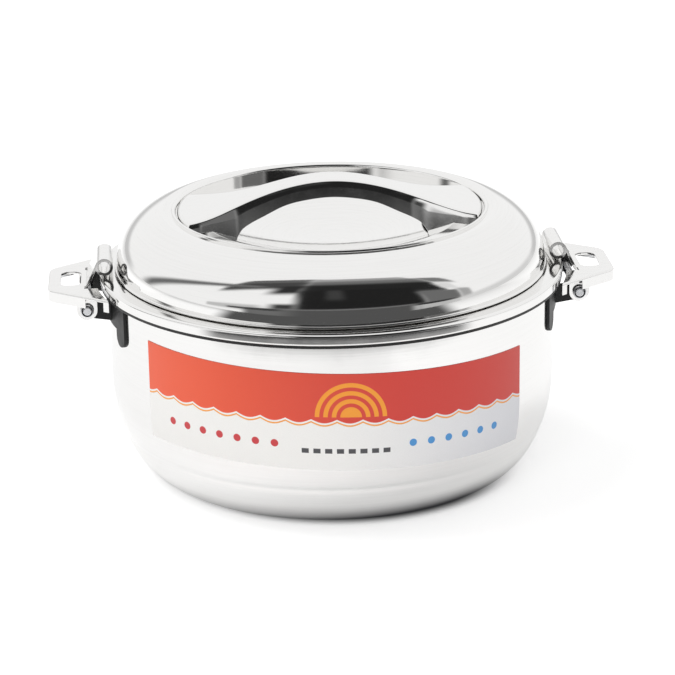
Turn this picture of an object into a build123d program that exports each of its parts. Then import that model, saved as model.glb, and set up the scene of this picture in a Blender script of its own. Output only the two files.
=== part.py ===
from build123d import *
import os
from math import asin, cos, degrees, pi, radians, sin, sqrt, tan

# Insulated serving casserole: double-walled pot, lift-off lid with a bridge
# handle, and two swinging side handles that clamp the lid.
# Frame: origin at the centre of the base on the table, +Z up, the side
# handles along X, the label towards -Y. Millimetres.

# ---- driving dimensions -------------------------------------------------
SHEET = 0.8              # stainless sheet of the shells
PRESSED = 1.2            # heavier sheet of handles and brackets
AIR = 0.2                # gap that keeps foam off the steel

# pot
WALL_R = 101.0           # outer radius of the pot's wall
FOOT_R = 76.0            # radius where the base turns up into the wall
FOOT_INNER_R = 66.5      # inner edge of the standing ring
CURVE_H = 46.0           # height of the rounded lower wall
WALL_TOP = 89.2          # top edge of the outer shell
BEAD_Z = 21.0            # height of the groove rolled into the lower wall
BEAD_R = 0.9             # radius of that groove
BOWL_R = 89.0            # inner radius of the food bowl
BOWL_FLOOR_R = 60.0      # flat part of the bowl's floor
BOWL_FLOOR_Z = 16.0
BOWL_CURVE_H = 28.0
RIM_R = 105.0            # outer radius of the rolled rim
RIM_TOP = 94.0
RIM_LIP_Z = 89.4         # lower edge of the rolled rim
RING_DROP = 1.4          # the black ring shows this much below the rim
BASE_PLATE_Z = 3.0       # underside of the base plate above the table
PLUG_HOLE_R = 6.0
PLUG_HEAD_R = 8.0

# lid
LID_R = 97.2             # outer radius of the dome at its lower edge
LID_BEAD_R = 98.0        # outer radius of the bead at the lid's lower edge
LID_BOTTOM = 94.4        # underside of the bead
LID_BEAD_H = 1.2
LID_BEAD_ROUND = 0.5
LID_SPRING_Z = 96.2      # height where the dome springs from the bead
LID_TOP = 120.8          # crown of the dome, at the edge of the recess
RECESS_R = 69.5          # radius of the recess under the handle
LEDGE_Z = 116.5          # ledge that the handle stands on
LEDGE_R = 58.0
CUP_CENTRE_Z = 104.0     # lowest point of the recess
LINER_R = 87.6           # plug that goes into the bowl
LINER_BOTTOM = 83.2
SEAL_LIP_R = 88.5

# lid handle: an arched strap that widens to its feet, with flanges down both sides
BRIDGE_R = 68.8          # radius of its ends, just inside the recess
BRIDGE_HALF = 69.0       # half length of the wave that the crest follows
BRIDGE_TOP = 134.3       # highest point of the bridge
BRIDGE_RIM_Z = 121.0     # height of its ends, level with the lid
WAIST_HALF = 7.8         # half width of the crest in the middle
END_HALF = 25.0          # half width of the crest at the feet
CREST_STEPS = (17.5, 35.0, 52.0, 69.8)
FLANGE_LEAN = 16.0       # degrees the flanges lean out
FLANGE_BEND = 2.0        # radius of the bend from crest to flange
ARCH_TOP = 127.2         # highest point of the opening under the bridge
ARCH_SIDE = ((12.0, 126.5), (24.0, 124.2), (32.0, 119.9), (40.0, 115.3), (43.0, 112.0))
FOOT_GAP = 0.1           # air between the handle's edge and the recess

# side handles, dimensions for the +X side
PIVOT_X = 110.5
PIVOT_Z = 82.4
PIN_R = 2.0
PIN_CLEARANCE = 0.05
GRIP_TOP = 90.4
GRIP_TIP_X = 128.0
GRIP_TIP_HALF = 16.0
GRIP_ROOT_X = 99.0
GRIP_ROOT_HALF = 37.0
GRIP_CORNER_R = 8.0
GRIP_INNER_R = 106.8     # inner edge follows the rim at this radius
GRIP_FLANGE = 5.4        # depth of the turned-down flange
SLOT_X = 117.8           # centre of the finger slot
SLOT_W = 9.0
SLOT_L = 20.0
SLOT_CORNER_R = 3.2
GRIP_EDGE_R = 1.0        # rounding of the pressing's upper edge
OPEN_BACK = 12.0         # the flange is left off round the root
OPEN_BACK_HALF = 34.0
ROLL_X = 102.4           # centre of the rolled end
ROLL_Z = 98.7
ROLL_R = 4.0
ROLL_BORE = 2.6
ROLL_HALF = 12.0         # half length of the roll and of the strap
STRAP_LEAN = 26.0        # degrees the strap leans out
NOTCH_HALF = 16.0        # half width of the notch that frees the strap
EAR_Y = 21.6             # inner face of the handle's ears
EAR_R = 4.6
BRACKET_EAR_Y = 19.9     # inner face of the bracket's ears
BRACKET_EAR_R = 4.0
BRACKET_TOP = 86.6
BRACKET_BAND_Z = 75.6
BRACKET_LEG_Z = 68.5
BRACKET_HALF = 39.0
BRACKET_R = WALL_R + 0.05
BRACKET_CUT_X = 60.0     # the bracket is cut from a ring beyond this plane
LEG_W = 9.4
CAP_R = 3.0
CAP_T = 1.3

# label
LABEL_T = 0.25
LABEL_LIFT = 0.03
LABEL_LOW = 34.0
LABEL_HIGH = 78.0
LABEL_HALF_ANGLE = 53.0

# fasteners of the lid handle
SCREW_X = 60.5
SCREW_Y = 16.0
SCREW_R = 2.0
SCREW_HEAD_R = 3.2
SCREW_HEAD_H = 1.5
NUT_FLATS = 7.0
NUT_H = 3.0
WASHER_R = 4.0
WASHER_T = 0.8

os.makedirs("parts", exist_ok=True)


def write(shape, name):
    """Label a finished piece and write it as one STEP file."""
    shape.label = name
    export_step(shape, f"parts/{name}.step")


# ---- pot ----------------------------------------------------------------
def outer_curve(inset):
    """The rounded lower wall of the outer shell, moved in by inset."""
    return EllipticalCenterArc(
        (FOOT_R, CURVE_H), WALL_R - FOOT_R - inset, CURVE_H - inset, 270, arc_size=90
    )


with BuildPart() as outer_shell:
    with BuildSketch(Plane.XZ):
        with BuildLine():
            outer = outer_curve(0)
            Line(outer @ 1, (WALL_R, WALL_TOP))
            Line((WALL_R, WALL_TOP), (WALL_R - SHEET, WALL_TOP))
            inner = outer_curve(SHEET)
            Line((WALL_R - SHEET, WALL_TOP), inner @ 1)
            Line(inner @ 0, (FOOT_INNER_R, SHEET))
            Line((FOOT_INNER_R, SHEET), (FOOT_INNER_R, 0))
            Line((FOOT_INNER_R, 0), outer @ 0)
        make_face()
    revolve(axis=Axis.Z)
    # a shallow groove rolled round the lower wall
    bead_rise = sqrt(1 - ((CURVE_H - BEAD_Z) / CURVE_H) ** 2)
    bead_x = FOOT_R + (WALL_R - FOOT_R) * bead_rise + BEAD_R * 0.6
    with BuildSketch(Plane.XZ):
        with Locations((bead_x, BEAD_Z)):
            Circle(BEAD_R)
    revolve(axis=Axis.Z, mode=Mode.SUBTRACT)
write(outer_shell.part, "outer_shell")


def bowl_curve(grow):
    """The rounded corner between the bowl's floor and wall, moved out by grow."""
    return EllipticalCenterArc(
        (BOWL_FLOOR_R, BOWL_FLOOR_Z + BOWL_CURVE_H),
        BOWL_R - BOWL_FLOOR_R + grow,
        BOWL_CURVE_H + grow,
        270,
        arc_size=90,
    )


RIM_BEND = 2.6           # radius of the bend from wall to rim ledge
RIM_ROLL = 2.0           # radius of the rim's outer edge

with BuildPart() as inner_bowl:
    with BuildSketch(Plane.XZ):
        with BuildLine():
            inside = bowl_curve(0)
            outside = bowl_curve(SHEET)
            Line((0, BOWL_FLOOR_Z), inside @ 0)
            Line(inside @ 1, (BOWL_R, RIM_TOP - RIM_BEND))
            RadiusArc(
                (BOWL_R, RIM_TOP - RIM_BEND), (BOWL_R + RIM_BEND, RIM_TOP), RIM_BEND
            )
            Line((BOWL_R + RIM_BEND, RIM_TOP), (RIM_R - RIM_ROLL, RIM_TOP))
            RadiusArc((RIM_R - RIM_ROLL, RIM_TOP), (RIM_R, RIM_TOP - RIM_ROLL), RIM_ROLL)
            Line((RIM_R, RIM_TOP - RIM_ROLL), (RIM_R, RIM_LIP_Z))
            Line((RIM_R, RIM_LIP_Z), (RIM_R - SHEET, RIM_LIP_Z))
            Line((RIM_R - SHEET, RIM_LIP_Z), (RIM_R - SHEET, RIM_TOP - RIM_ROLL))
            RadiusArc(
                (RIM_R - SHEET, RIM_TOP - RIM_ROLL),
                (RIM_R - RIM_ROLL, RIM_TOP - SHEET),
                -(RIM_ROLL - SHEET),
            )
            Line((RIM_R - RIM_ROLL, RIM_TOP - SHEET), (BOWL_R + RIM_BEND, RIM_TOP - SHEET))
            RadiusArc(
                (BOWL_R + RIM_BEND, RIM_TOP - SHEET),
                (BOWL_R + SHEET, RIM_TOP - RIM_BEND),
                -(RIM_BEND - SHEET),
            )
            Line((BOWL_R + SHEET, RIM_TOP - RIM_BEND), outside @ 1)
            Line(outside @ 0, (0, BOWL_FLOOR_Z - SHEET))
            Line((0, BOWL_FLOOR_Z - SHEET), (0, BOWL_FLOOR_Z))
        make_face()
    revolve(axis=Axis.Z)
write(inner_bowl.part, "inner_bowl")

# black ring between the shells: a rib inside the rolled rim, a lip below it
RING_BORE = WALL_R + 0.05
RING_CHAMFER = 2.4
with BuildPart() as rim_ring:
    with BuildSketch(Plane.XZ):
        with BuildLine():
            Polyline(
                (RING_BORE, RIM_LIP_Z - RING_DROP),
                (RIM_R - 0.3, RIM_LIP_Z - RING_DROP),
                (RIM_R - 0.3, RIM_LIP_Z),
                (RIM_R - SHEET - 0.1, RIM_LIP_Z),
                (RIM_R - SHEET - 0.1, RIM_TOP - RING_CHAMFER),
                (RIM_R - RING_CHAMFER, RIM_TOP - SHEET - 0.1),
                (RING_BORE, RIM_TOP - SHEET - 0.1),
                close=True,
            )
        make_face()
    revolve(axis=Axis.Z)
write(rim_ring.part, "rim_ring")

# ---- base ---------------------------------------------------------------
COVER_R = FOOT_R - 2.0   # the base plate's edge lies on the standing ring
DISH_R = 61.0            # radius of the raised centre of the base plate
with BuildPart() as base_cover:
    with BuildSketch(Plane.XZ):
        with BuildLine():
            Polyline(
                (PLUG_HOLE_R, BASE_PLATE_Z),
                (DISH_R, BASE_PLATE_Z),
                (FOOT_INNER_R - 2, SHEET),
                (COVER_R, SHEET),
                (COVER_R, 2 * SHEET),
                (FOOT_INNER_R - 1.6, 2 * SHEET),
                (DISH_R + 0.4, BASE_PLATE_Z + SHEET),
                (PLUG_HOLE_R, BASE_PLATE_Z + SHEET),
                close=True,
            )
        make_face()
    revolve(axis=Axis.Z)
write(base_cover.part, "base_cover")

PLUG_STEM = 5.0          # length of a plug's stem above the plate
PLUG_HEAD_T = 1.2
PLUG_POCKET = PLUG_STEM + 1.5  # the foam's pocket, from 1 below its underside
PLUG_CHAMFER = 0.4
with BuildPart() as base_plug:
    with BuildSketch(Plane.XY.offset(BASE_PLATE_Z - PLUG_HEAD_T)):
        Circle(PLUG_HEAD_R)
    extrude(amount=PLUG_HEAD_T)
    chamfer(base_plug.faces().sort_by(Axis.Z)[0].edges(), PLUG_CHAMFER)
    with BuildSketch(Plane.XY.offset(BASE_PLATE_Z)):
        Circle(PLUG_HOLE_R - 0.1)
    extrude(amount=PLUG_STEM)
write(base_plug.part, "base_plug")

# insulation between the two bowls, with a pocket for the plug's stem
with BuildPart() as body_foam:
    with BuildSketch(Plane.XZ):
        with BuildLine():
            bowl_side = bowl_curve(SHEET + AIR)
            foam_top = RIM_TOP - SHEET - AIR
            foam_floor = BASE_PLATE_Z + SHEET + AIR
            foam_edge_z = 2 * SHEET + AIR
            Polyline(
                (0, foam_floor),
                (DISH_R + 1, foam_floor),
                (COVER_R, foam_edge_z),
                (FOOT_R, foam_edge_z),
            )
            lower = EllipticalCenterArc(
                (FOOT_R, CURVE_H),
                WALL_R - FOOT_R - SHEET - AIR,
                CURVE_H - 2 * SHEET - AIR,
                270,
                arc_size=90,
            )
            bowl_back = BOWL_R + SHEET
            Polyline(
                lower @ 1,
                (WALL_R - SHEET - AIR, foam_top),
                (bowl_back + RIM_BEND, foam_top),
                (bowl_back + AIR, foam_top - RIM_BEND),
                bowl_side @ 1,
            )
            Polyline(
                bowl_side @ 0,
                (0, BOWL_FLOOR_Z - SHEET - AIR),
                (0, foam_floor),
            )
        make_face()
    revolve(axis=Axis.Z)
    with BuildSketch(Plane.XY.offset(foam_floor - 1)):
        Circle(PLUG_HOLE_R + AIR)
    extrude(amount=PLUG_POCKET, mode=Mode.SUBTRACT)
write(body_foam.part, "body_foam")

# ---- label: a film that follows the wall --------------------------------
with BuildPart() as front_label:
    with BuildSketch(Plane.XZ):
        with BuildLine():
            sweep = degrees(asin((CURVE_H - LABEL_LOW) / CURVE_H))
            near = EllipticalCenterArc(
                (FOOT_R, CURVE_H),
                WALL_R - FOOT_R + LABEL_LIFT,
                CURVE_H + LABEL_LIFT,
                -sweep,
                arc_size=sweep,
            )
            far = EllipticalCenterArc(
                (FOOT_R, CURVE_H),
                WALL_R - FOOT_R + LABEL_LIFT + LABEL_T,
                CURVE_H + LABEL_LIFT + LABEL_T,
                -sweep,
                arc_size=sweep,
            )
            Line(near @ 1, (WALL_R + LABEL_LIFT, LABEL_HIGH))
            Line(
                (WALL_R + LABEL_LIFT, LABEL_HIGH),
                (WALL_R + LABEL_LIFT + LABEL_T, LABEL_HIGH),
            )
            Line((WALL_R + LABEL_LIFT + LABEL_T, LABEL_HIGH), far @ 1)
            Line(far @ 0, near @ 0)
        make_face()
    revolve(axis=Axis.Z, revolution_arc=2 * LABEL_HALF_ANGLE)
front_label.part = front_label.part.rotate(Axis.Z, -90 - LABEL_HALF_ANGLE)
write(front_label.part, "front_label")

# ---- lid ----------------------------------------------------------------
LIP_OUTER = RECESS_R + SHEET


def dome_curve(inset):
    """The lid's dome from its wall to the edge of the recess, moved in by inset."""
    return EllipticalCenterArc(
        (LIP_OUTER, LID_SPRING_Z),
        LID_R - LIP_OUTER - inset,
        LID_TOP - LID_SPRING_Z - inset,
        0,
        arc_size=90,
    )


with BuildPart() as lid_shell:
    with BuildSketch(Plane.XZ):
        with BuildLine():
            dome = dome_curve(0)
            under = dome_curve(SHEET)
            bead_top = LID_BOTTOM + LID_BEAD_H
            bead_round = LID_BEAD_ROUND
            bead_in = LID_BEAD_R - bead_round
            Line((LID_R, bead_top), dome @ 0)
            RadiusArc(dome @ 1, (RECESS_R, LID_TOP - SHEET), -SHEET)
            Line((RECESS_R, LID_TOP - SHEET), (RECESS_R, LEDGE_Z))
            Line((RECESS_R, LEDGE_Z), (LIP_OUTER, LEDGE_Z))
            Line((LIP_OUTER, LEDGE_Z), under @ 1)
            Line(under @ 0, (LID_R - SHEET, LID_BOTTOM))
            Line((LID_R - SHEET, LID_BOTTOM), (bead_in, LID_BOTTOM))
            RadiusArc(
                (bead_in, LID_BOTTOM), (LID_BEAD_R, LID_BOTTOM + bead_round), -bead_round
            )
            Line((LID_BEAD_R, LID_BOTTOM + bead_round), (LID_BEAD_R, bead_top - bead_round))
            RadiusArc(
                (LID_BEAD_R, bead_top - bead_round), (bead_in, bead_top), -bead_round
            )
            Line((bead_in, bead_top), (LID_R, bead_top))
        make_face()
    revolve(axis=Axis.Z)
write(lid_shell.part, "lid_shell")

CUP_EDGE_R = 72.5        # the cup's edge lies under the shell's lip


def screw_spots():
    """Places of the four screws that hold the lid handle."""
    return GridLocations(2 * SCREW_X, 2 * SCREW_Y, 2, 2)


def cup_height(radius):
    """Height of the recess floor at a radius."""
    rise = LEDGE_Z - CUP_CENTRE_Z
    sphere = (LEDGE_R**2 + rise**2) / (2 * rise)
    return CUP_CENTRE_Z + sphere - sqrt(sphere**2 - radius**2)


CUP_MID_R = LEDGE_R / 2
with BuildPart() as lid_recess_cup:
    with BuildSketch(Plane.XZ):
        with BuildLine():
            ThreePointArc(
                (0, CUP_CENTRE_Z), (CUP_MID_R, cup_height(CUP_MID_R)), (LEDGE_R, LEDGE_Z)
            )
            Line((LEDGE_R, LEDGE_Z), (CUP_EDGE_R, LEDGE_Z))
            Line((CUP_EDGE_R, LEDGE_Z), (CUP_EDGE_R, LEDGE_Z - SHEET))
            Line((CUP_EDGE_R, LEDGE_Z - SHEET), (LEDGE_R, LEDGE_Z - SHEET))
            ThreePointArc(
                (LEDGE_R, LEDGE_Z - SHEET),
                (CUP_MID_R, cup_height(CUP_MID_R) - SHEET),
                (0, CUP_CENTRE_Z - SHEET),
            )
            Line((0, CUP_CENTRE_Z - SHEET), (0, CUP_CENTRE_Z))
        make_face()
    revolve(axis=Axis.Z)
    with BuildSketch(Plane.XY.offset(LEDGE_Z + 1)):
        with screw_spots():
            Circle(SCREW_R + 0.1)
    extrude(amount=-10, mode=Mode.SUBTRACT)
write(lid_recess_cup.part, "lid_recess_cup")

LINER_FLANGE_Z = 94.6
LINER_CORNER = 4.0
with BuildPart() as lid_liner:
    with BuildSketch(Plane.XZ):
        with BuildLine():
            Line((PLUG_HOLE_R, LINER_BOTTOM), (LINER_R - LINER_CORNER, LINER_BOTTOM))
            RadiusArc(
                (LINER_R - LINER_CORNER, LINER_BOTTOM),
                (LINER_R, LINER_BOTTOM + LINER_CORNER),
                -LINER_CORNER,
            )
            Polyline(
                (LINER_R, LINER_BOTTOM + LINER_CORNER),
                (LINER_R, LINER_FLANGE_Z),
                (LID_R - SHEET - 0.1, LINER_FLANGE_Z),
                (LID_R - SHEET - 0.1, LINER_FLANGE_Z + SHEET),
                (LINER_R - SHEET, LINER_FLANGE_Z + SHEET),
                (LINER_R - SHEET, LINER_BOTTOM + LINER_CORNER),
            )
            RadiusArc(
                (LINER_R - SHEET, LINER_BOTTOM + LINER_CORNER),
                (LINER_R - LINER_CORNER, LINER_BOTTOM + SHEET),
                LINER_CORNER - SHEET,
            )
            Polyline(
                (LINER_R - LINER_CORNER, LINER_BOTTOM + SHEET),
                (PLUG_HOLE_R, LINER_BOTTOM + SHEET),
                (PLUG_HOLE_R, LINER_BOTTOM),
            )
        make_face()
    revolve(axis=Axis.Z)
write(lid_liner.part, "lid_liner")

with BuildPart() as lid_plug:
    with BuildSketch(Plane.XY.offset(LINER_BOTTOM - PLUG_HEAD_T)):
        Circle(PLUG_HEAD_R)
    extrude(amount=PLUG_HEAD_T)
    chamfer(lid_plug.faces().sort_by(Axis.Z)[0].edges(), PLUG_CHAMFER)
    with BuildSketch(Plane.XY.offset(LINER_BOTTOM)):
        Circle(PLUG_HOLE_R - 0.1)
    extrude(amount=PLUG_STEM)
write(lid_plug.part, "lid_plug")

SEAL_BOTTOM = RIM_TOP + 0.1
SEAL_LIP_LOW = 87.5
SEAL_EDGE_R = 95.4
with BuildPart() as lid_seal:
    with BuildSketch(Plane.XZ):
        with BuildLine():
            Polyline(
                (LINER_R + 0.02, SEAL_LIP_LOW),
                (SEAL_LIP_R - 0.5, SEAL_LIP_LOW),
                (SEAL_LIP_R, SEAL_LIP_LOW + 1.5),
                (SEAL_LIP_R, SEAL_BOTTOM - 1.5),
                (SEAL_LIP_R + 1.5, SEAL_BOTTOM),
                (SEAL_EDGE_R, SEAL_BOTTOM),
                (SEAL_EDGE_R, LINER_FLANGE_Z - 0.02),
                (LINER_R + 0.02, LINER_FLANGE_Z - 0.02),
                close=True,
            )
        make_face()
    revolve(axis=Axis.Z)
write(lid_seal.part, "lid_seal")

# insulation in the lid, with pockets for the plug and the nuts
NUT_POCKET_R = 6.0
NUT_POCKET_H = 11.0
CUP_STEP = 3.2           # height of the step in the foam round the cup's edge
with BuildPart() as lid_foam:
    with BuildSketch(Plane.XZ):
        with BuildLine():
            foam_low = LINER_BOTTOM + SHEET + AIR
            plug_r = LINER_R - SHEET - AIR
            shelf = LINER_FLANGE_Z + SHEET + AIR
            cup_under = LEDGE_Z - SHEET - AIR
            below_dome = dome_curve(SHEET + AIR)
            Line((0, foam_low), (plug_r - LINER_CORNER, foam_low))
            Line((plug_r - LINER_CORNER, foam_low), (plug_r, foam_low + LINER_CORNER))
            Line((plug_r, foam_low + LINER_CORNER), (plug_r, shelf))
            Line((plug_r, shelf), (LID_R - SHEET - AIR, shelf))
            Line((LID_R - SHEET - AIR, shelf), below_dome @ 0)
            Line(below_dome @ 1, (CUP_EDGE_R + AIR, cup_under + CUP_STEP))
            Line((CUP_EDGE_R + AIR, cup_under + CUP_STEP), (CUP_EDGE_R + AIR, cup_under))
            Line((CUP_EDGE_R + AIR, cup_under), (LEDGE_R, cup_under))
            ThreePointArc(
                (LEDGE_R, cup_under),
                (CUP_MID_R, cup_height(CUP_MID_R) - SHEET - AIR),
                (0, CUP_CENTRE_Z - SHEET - AIR),
            )
            Line((0, CUP_CENTRE_Z - SHEET - AIR), (0, foam_low))
        make_face()
    revolve(axis=Axis.Z)
    with BuildSketch(Plane.XY.offset(foam_low - 1)):
        Circle(PLUG_HOLE_R + AIR)
    extrude(amount=PLUG_POCKET, mode=Mode.SUBTRACT)
    with BuildSketch(Plane.XY.offset(LEDGE_Z)):
        with screw_spots():
            Circle(NUT_POCKET_R)
    extrude(amount=-NUT_POCKET_H, mode=Mode.SUBTRACT)
write(lid_foam.part, "lid_foam")


# ---- lid handle ---------------------------------------------------------
def crest_fall(x):
    """How far the strap has come down at x: 0 in the middle, 1 at its ends."""
    return (1 - cos(pi * min(abs(x) / BRIDGE_HALF, 1))) / 2


def crest_height(x):
    """Height of the strap's crest at x."""
    return BRIDGE_TOP - (BRIDGE_TOP - BRIDGE_RIM_Z) * crest_fall(x)


def crest_half(x):
    """Half width of the crest at x."""
    return WAIST_HALF + (END_HALF - WAIST_HALF) * crest_fall(x) ** 3


def crest_stations():
    """The values of x that the strap's curves are drawn through, from left to right."""
    return [-x for x in reversed(CREST_STEPS)] + [0.0] + list(CREST_STEPS)


def recess_plug(inset):
    """A round plug that stands on the recess floor and reaches above the handle."""
    edge = BRIDGE_R - inset
    floor_mid = (LEDGE_R / 2, cup_height(LEDGE_R / 2) + FOOT_GAP)
    with BuildPart() as plug:
        with BuildSketch(Plane.XZ):
            with BuildLine():
                Polyline(
                    (0, CUP_CENTRE_Z + FOOT_GAP),
                    (0, BRIDGE_TOP + 1),
                    (edge, BRIDGE_TOP + 1),
                    (edge, LEDGE_Z + FOOT_GAP),
                    (LEDGE_R, LEDGE_Z + FOOT_GAP),
                )
                ThreePointArc(
                    (LEDGE_R, LEDGE_Z + FOOT_GAP), floor_mid, (0, CUP_CENTRE_Z + FOOT_GAP)
                )
            make_face()
        revolve(axis=Axis.Z)
    return plug.part


def strap_outline(height, inset):
    """Plan of the strap's leaning sides at a height, moved in by inset."""
    lean = tan(radians(FLANGE_LEAN))
    points = []
    for x in crest_stations():
        half = crest_half(x) + lean * (crest_height(x) - height) - inset
        points.append((x, half))
    with BuildSketch() as outline:
        with BuildLine():
            back = Spline(*points, tangents=[(1, 0), (1, 0)])
            front = Spline(*[(x, -y) for x, y in points], tangents=[(1, 0), (1, 0)])
            Line(back @ 0, front @ 0)
            Line(back @ 1, front @ 1)
        make_face()
    return outline.sketch


def bridge_block(inset):
    """The solid block of the bridge handle, with its top and sides moved in by inset."""
    with BuildPart() as block:
        with BuildSketch(Plane.XY.offset(CUP_CENTRE_Z)):
            add(strap_outline(CUP_CENTRE_Z, inset))
        with BuildSketch(Plane.XY.offset(BRIDGE_TOP + 1)):
            add(strap_outline(BRIDGE_TOP + 1, inset))
        loft()
        # the crest's wave, cut along the top
        with BuildSketch(Plane.XZ.offset(-BRIDGE_R)):
            with BuildLine():
                points = [(x, crest_height(x) - inset) for x in crest_stations()]
                wave = Spline(*points, tangents=[(1, 0), (1, 0)])
                end = CREST_STEPS[-1]
                low = CUP_CENTRE_Z - 1
                Polyline(wave @ 1, (end, low), (-end, low), wave @ 0)
            make_face()
        extrude(amount=2 * BRIDGE_R, mode=Mode.INTERSECT)
        crest = block.faces().sort_by(Axis.Z)[-1]
        fillet(crest.edges().filter_by(lambda e: e.length > BRIDGE_R), FLANGE_BEND - inset)
        add(recess_plug(inset), mode=Mode.INTERSECT)
    return block.part


with BuildPart() as lid_handle:
    add(bridge_block(0))
    add(bridge_block(PRESSED), mode=Mode.SUBTRACT)
    # the opening between the flanges and the recess
    with BuildSketch(Plane.XZ.offset(-BRIDGE_R)):
        with BuildLine():
            left_side = [(-x, z) for x, z in reversed(ARCH_SIDE)]
            arch = Spline(*left_side, (0, ARCH_TOP), *ARCH_SIDE)
            arch_end = ARCH_SIDE[-1][0] + 1
            Polyline(arch @ 1, (arch_end, CUP_CENTRE_Z), (-arch_end, CUP_CENTRE_Z), arch @ 0)
        make_face()
    extrude(amount=2 * BRIDGE_R, mode=Mode.SUBTRACT)
write(lid_handle.part, "lid_handle")

# angle pieces inside the feet; the screws go down through them
FOOT_TAB_HALF = 19.5
FOOT_TAB_X0 = 55.0
FOOT_TAB_X1 = 70.0
FOOT_TAB_T = 1.5
FOOT_WALL_H = 3.0
FOOT_WALL_R = BRIDGE_R - PRESSED - 0.1
for side, sign in (("left", -1), ("right", 1)):
    with BuildPart() as foot_bracket:
        with BuildSketch(Plane.XY.offset(LEDGE_Z + 0.1)):
            with Locations((sign * (FOOT_TAB_X0 + FOOT_TAB_X1) / 2, 0)):
                Rectangle(FOOT_TAB_X1 - FOOT_TAB_X0, 2 * FOOT_TAB_HALF)
            Circle(FOOT_WALL_R, mode=Mode.INTERSECT)
        extrude(amount=FOOT_TAB_T)
        with BuildSketch(Plane.XY.offset(LEDGE_Z + 0.1)):
            Circle(FOOT_WALL_R)
            Circle(FOOT_WALL_R - PRESSED, mode=Mode.SUBTRACT)
            with Locations((sign * BRIDGE_R, 0)):
                Rectangle(BRIDGE_R, 2 * FOOT_TAB_HALF, mode=Mode.INTERSECT)
        extrude(amount=FOOT_WALL_H)
        with BuildSketch(Plane.XY.offset(LEDGE_Z - 1)):
            with Locations((sign * SCREW_X, SCREW_Y), (sign * SCREW_X, -SCREW_Y)):
                Circle(SCREW_R + 0.1)
        extrude(amount=FOOT_TAB_T + 3, mode=Mode.SUBTRACT)
    write(foot_bracket.part, f"{side}_foot_bracket")

SCREW_SEAT = LEDGE_Z + 0.1 + FOOT_TAB_T
SCREW_LENGTH = 11.0
with BuildPart() as handle_screws:
    with BuildSketch(Plane.XY.offset(SCREW_SEAT)):
        with screw_spots():
            Circle(SCREW_HEAD_R)
    extrude(amount=SCREW_HEAD_H)
    chamfer(handle_screws.faces().sort_by(Axis.Z)[-4:].edges(), 0.5)
    with BuildSketch(Plane.XY.offset(SCREW_SEAT)):
        with screw_spots():
            Circle(SCREW_R)
    extrude(amount=-SCREW_LENGTH)
write(handle_screws.part, "handle_screws")

WASHER_TOP = LEDGE_Z - SHEET
with BuildPart() as handle_washers:
    with BuildSketch(Plane.XY.offset(WASHER_TOP)):
        with screw_spots():
            Circle(WASHER_R)
            Circle(SCREW_R + 0.1, mode=Mode.SUBTRACT)
    extrude(amount=-WASHER_T)
write(handle_washers.part, "handle_washers")

with BuildPart() as handle_nuts:
    with BuildSketch(Plane.XY.offset(WASHER_TOP - WASHER_T)):
        with screw_spots():
            RegularPolygon(NUT_FLATS / 2, 6, major_radius=False)
            Circle(SCREW_R, mode=Mode.SUBTRACT)
    extrude(amount=-NUT_H)
write(handle_nuts.part, "handle_nuts")


# ---- side handles -------------------------------------------------------
def grip_outline(inset):
    """Plan of the handle: a trapezium with round outer corners, moved in by inset."""
    slant = sqrt((GRIP_TIP_X - GRIP_ROOT_X) ** 2 + (GRIP_ROOT_HALF - GRIP_TIP_HALF) ** 2)
    drop = inset * slant / (GRIP_TIP_X - GRIP_ROOT_X)
    turn = inset * (GRIP_ROOT_HALF - GRIP_TIP_HALF) / (GRIP_TIP_X - GRIP_ROOT_X)
    with BuildSketch() as outline:
        with BuildLine():
            FilletPolyline(
                (GRIP_ROOT_X, -GRIP_ROOT_HALF + drop),
                (GRIP_TIP_X - inset, -GRIP_TIP_HALF + drop - turn),
                (GRIP_TIP_X - inset, GRIP_TIP_HALF - drop + turn),
                (GRIP_ROOT_X, GRIP_ROOT_HALF - drop),
                radius=GRIP_CORNER_R - inset,
            )
            Line((GRIP_ROOT_X, GRIP_ROOT_HALF - drop), (GRIP_ROOT_X, -GRIP_ROOT_HALF + drop))
        make_face()
        Circle(GRIP_INNER_R, mode=Mode.SUBTRACT)
    return outline.sketch


def strap_point(distance, depth):
    """A point along the strap from its tangent point on the roll, at a depth below it."""
    lean = radians(STRAP_LEAN)
    x = ROLL_X + (ROLL_R - depth) * cos(lean) + distance * sin(lean)
    z = ROLL_Z + (ROLL_R - depth) * sin(lean) - distance * cos(lean)
    return (x, z)


STRAP_RUN = (ROLL_Z + ROLL_R * sin(radians(STRAP_LEAN)) - GRIP_TOP) / cos(radians(STRAP_LEAN))
STRAP_ROOT_X = strap_point(STRAP_RUN, 0)[0]
NOTCH_X = STRAP_ROOT_X + 0.6
STRAP_LAP = 0.5          # the strap's root runs this far into the grip


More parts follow.
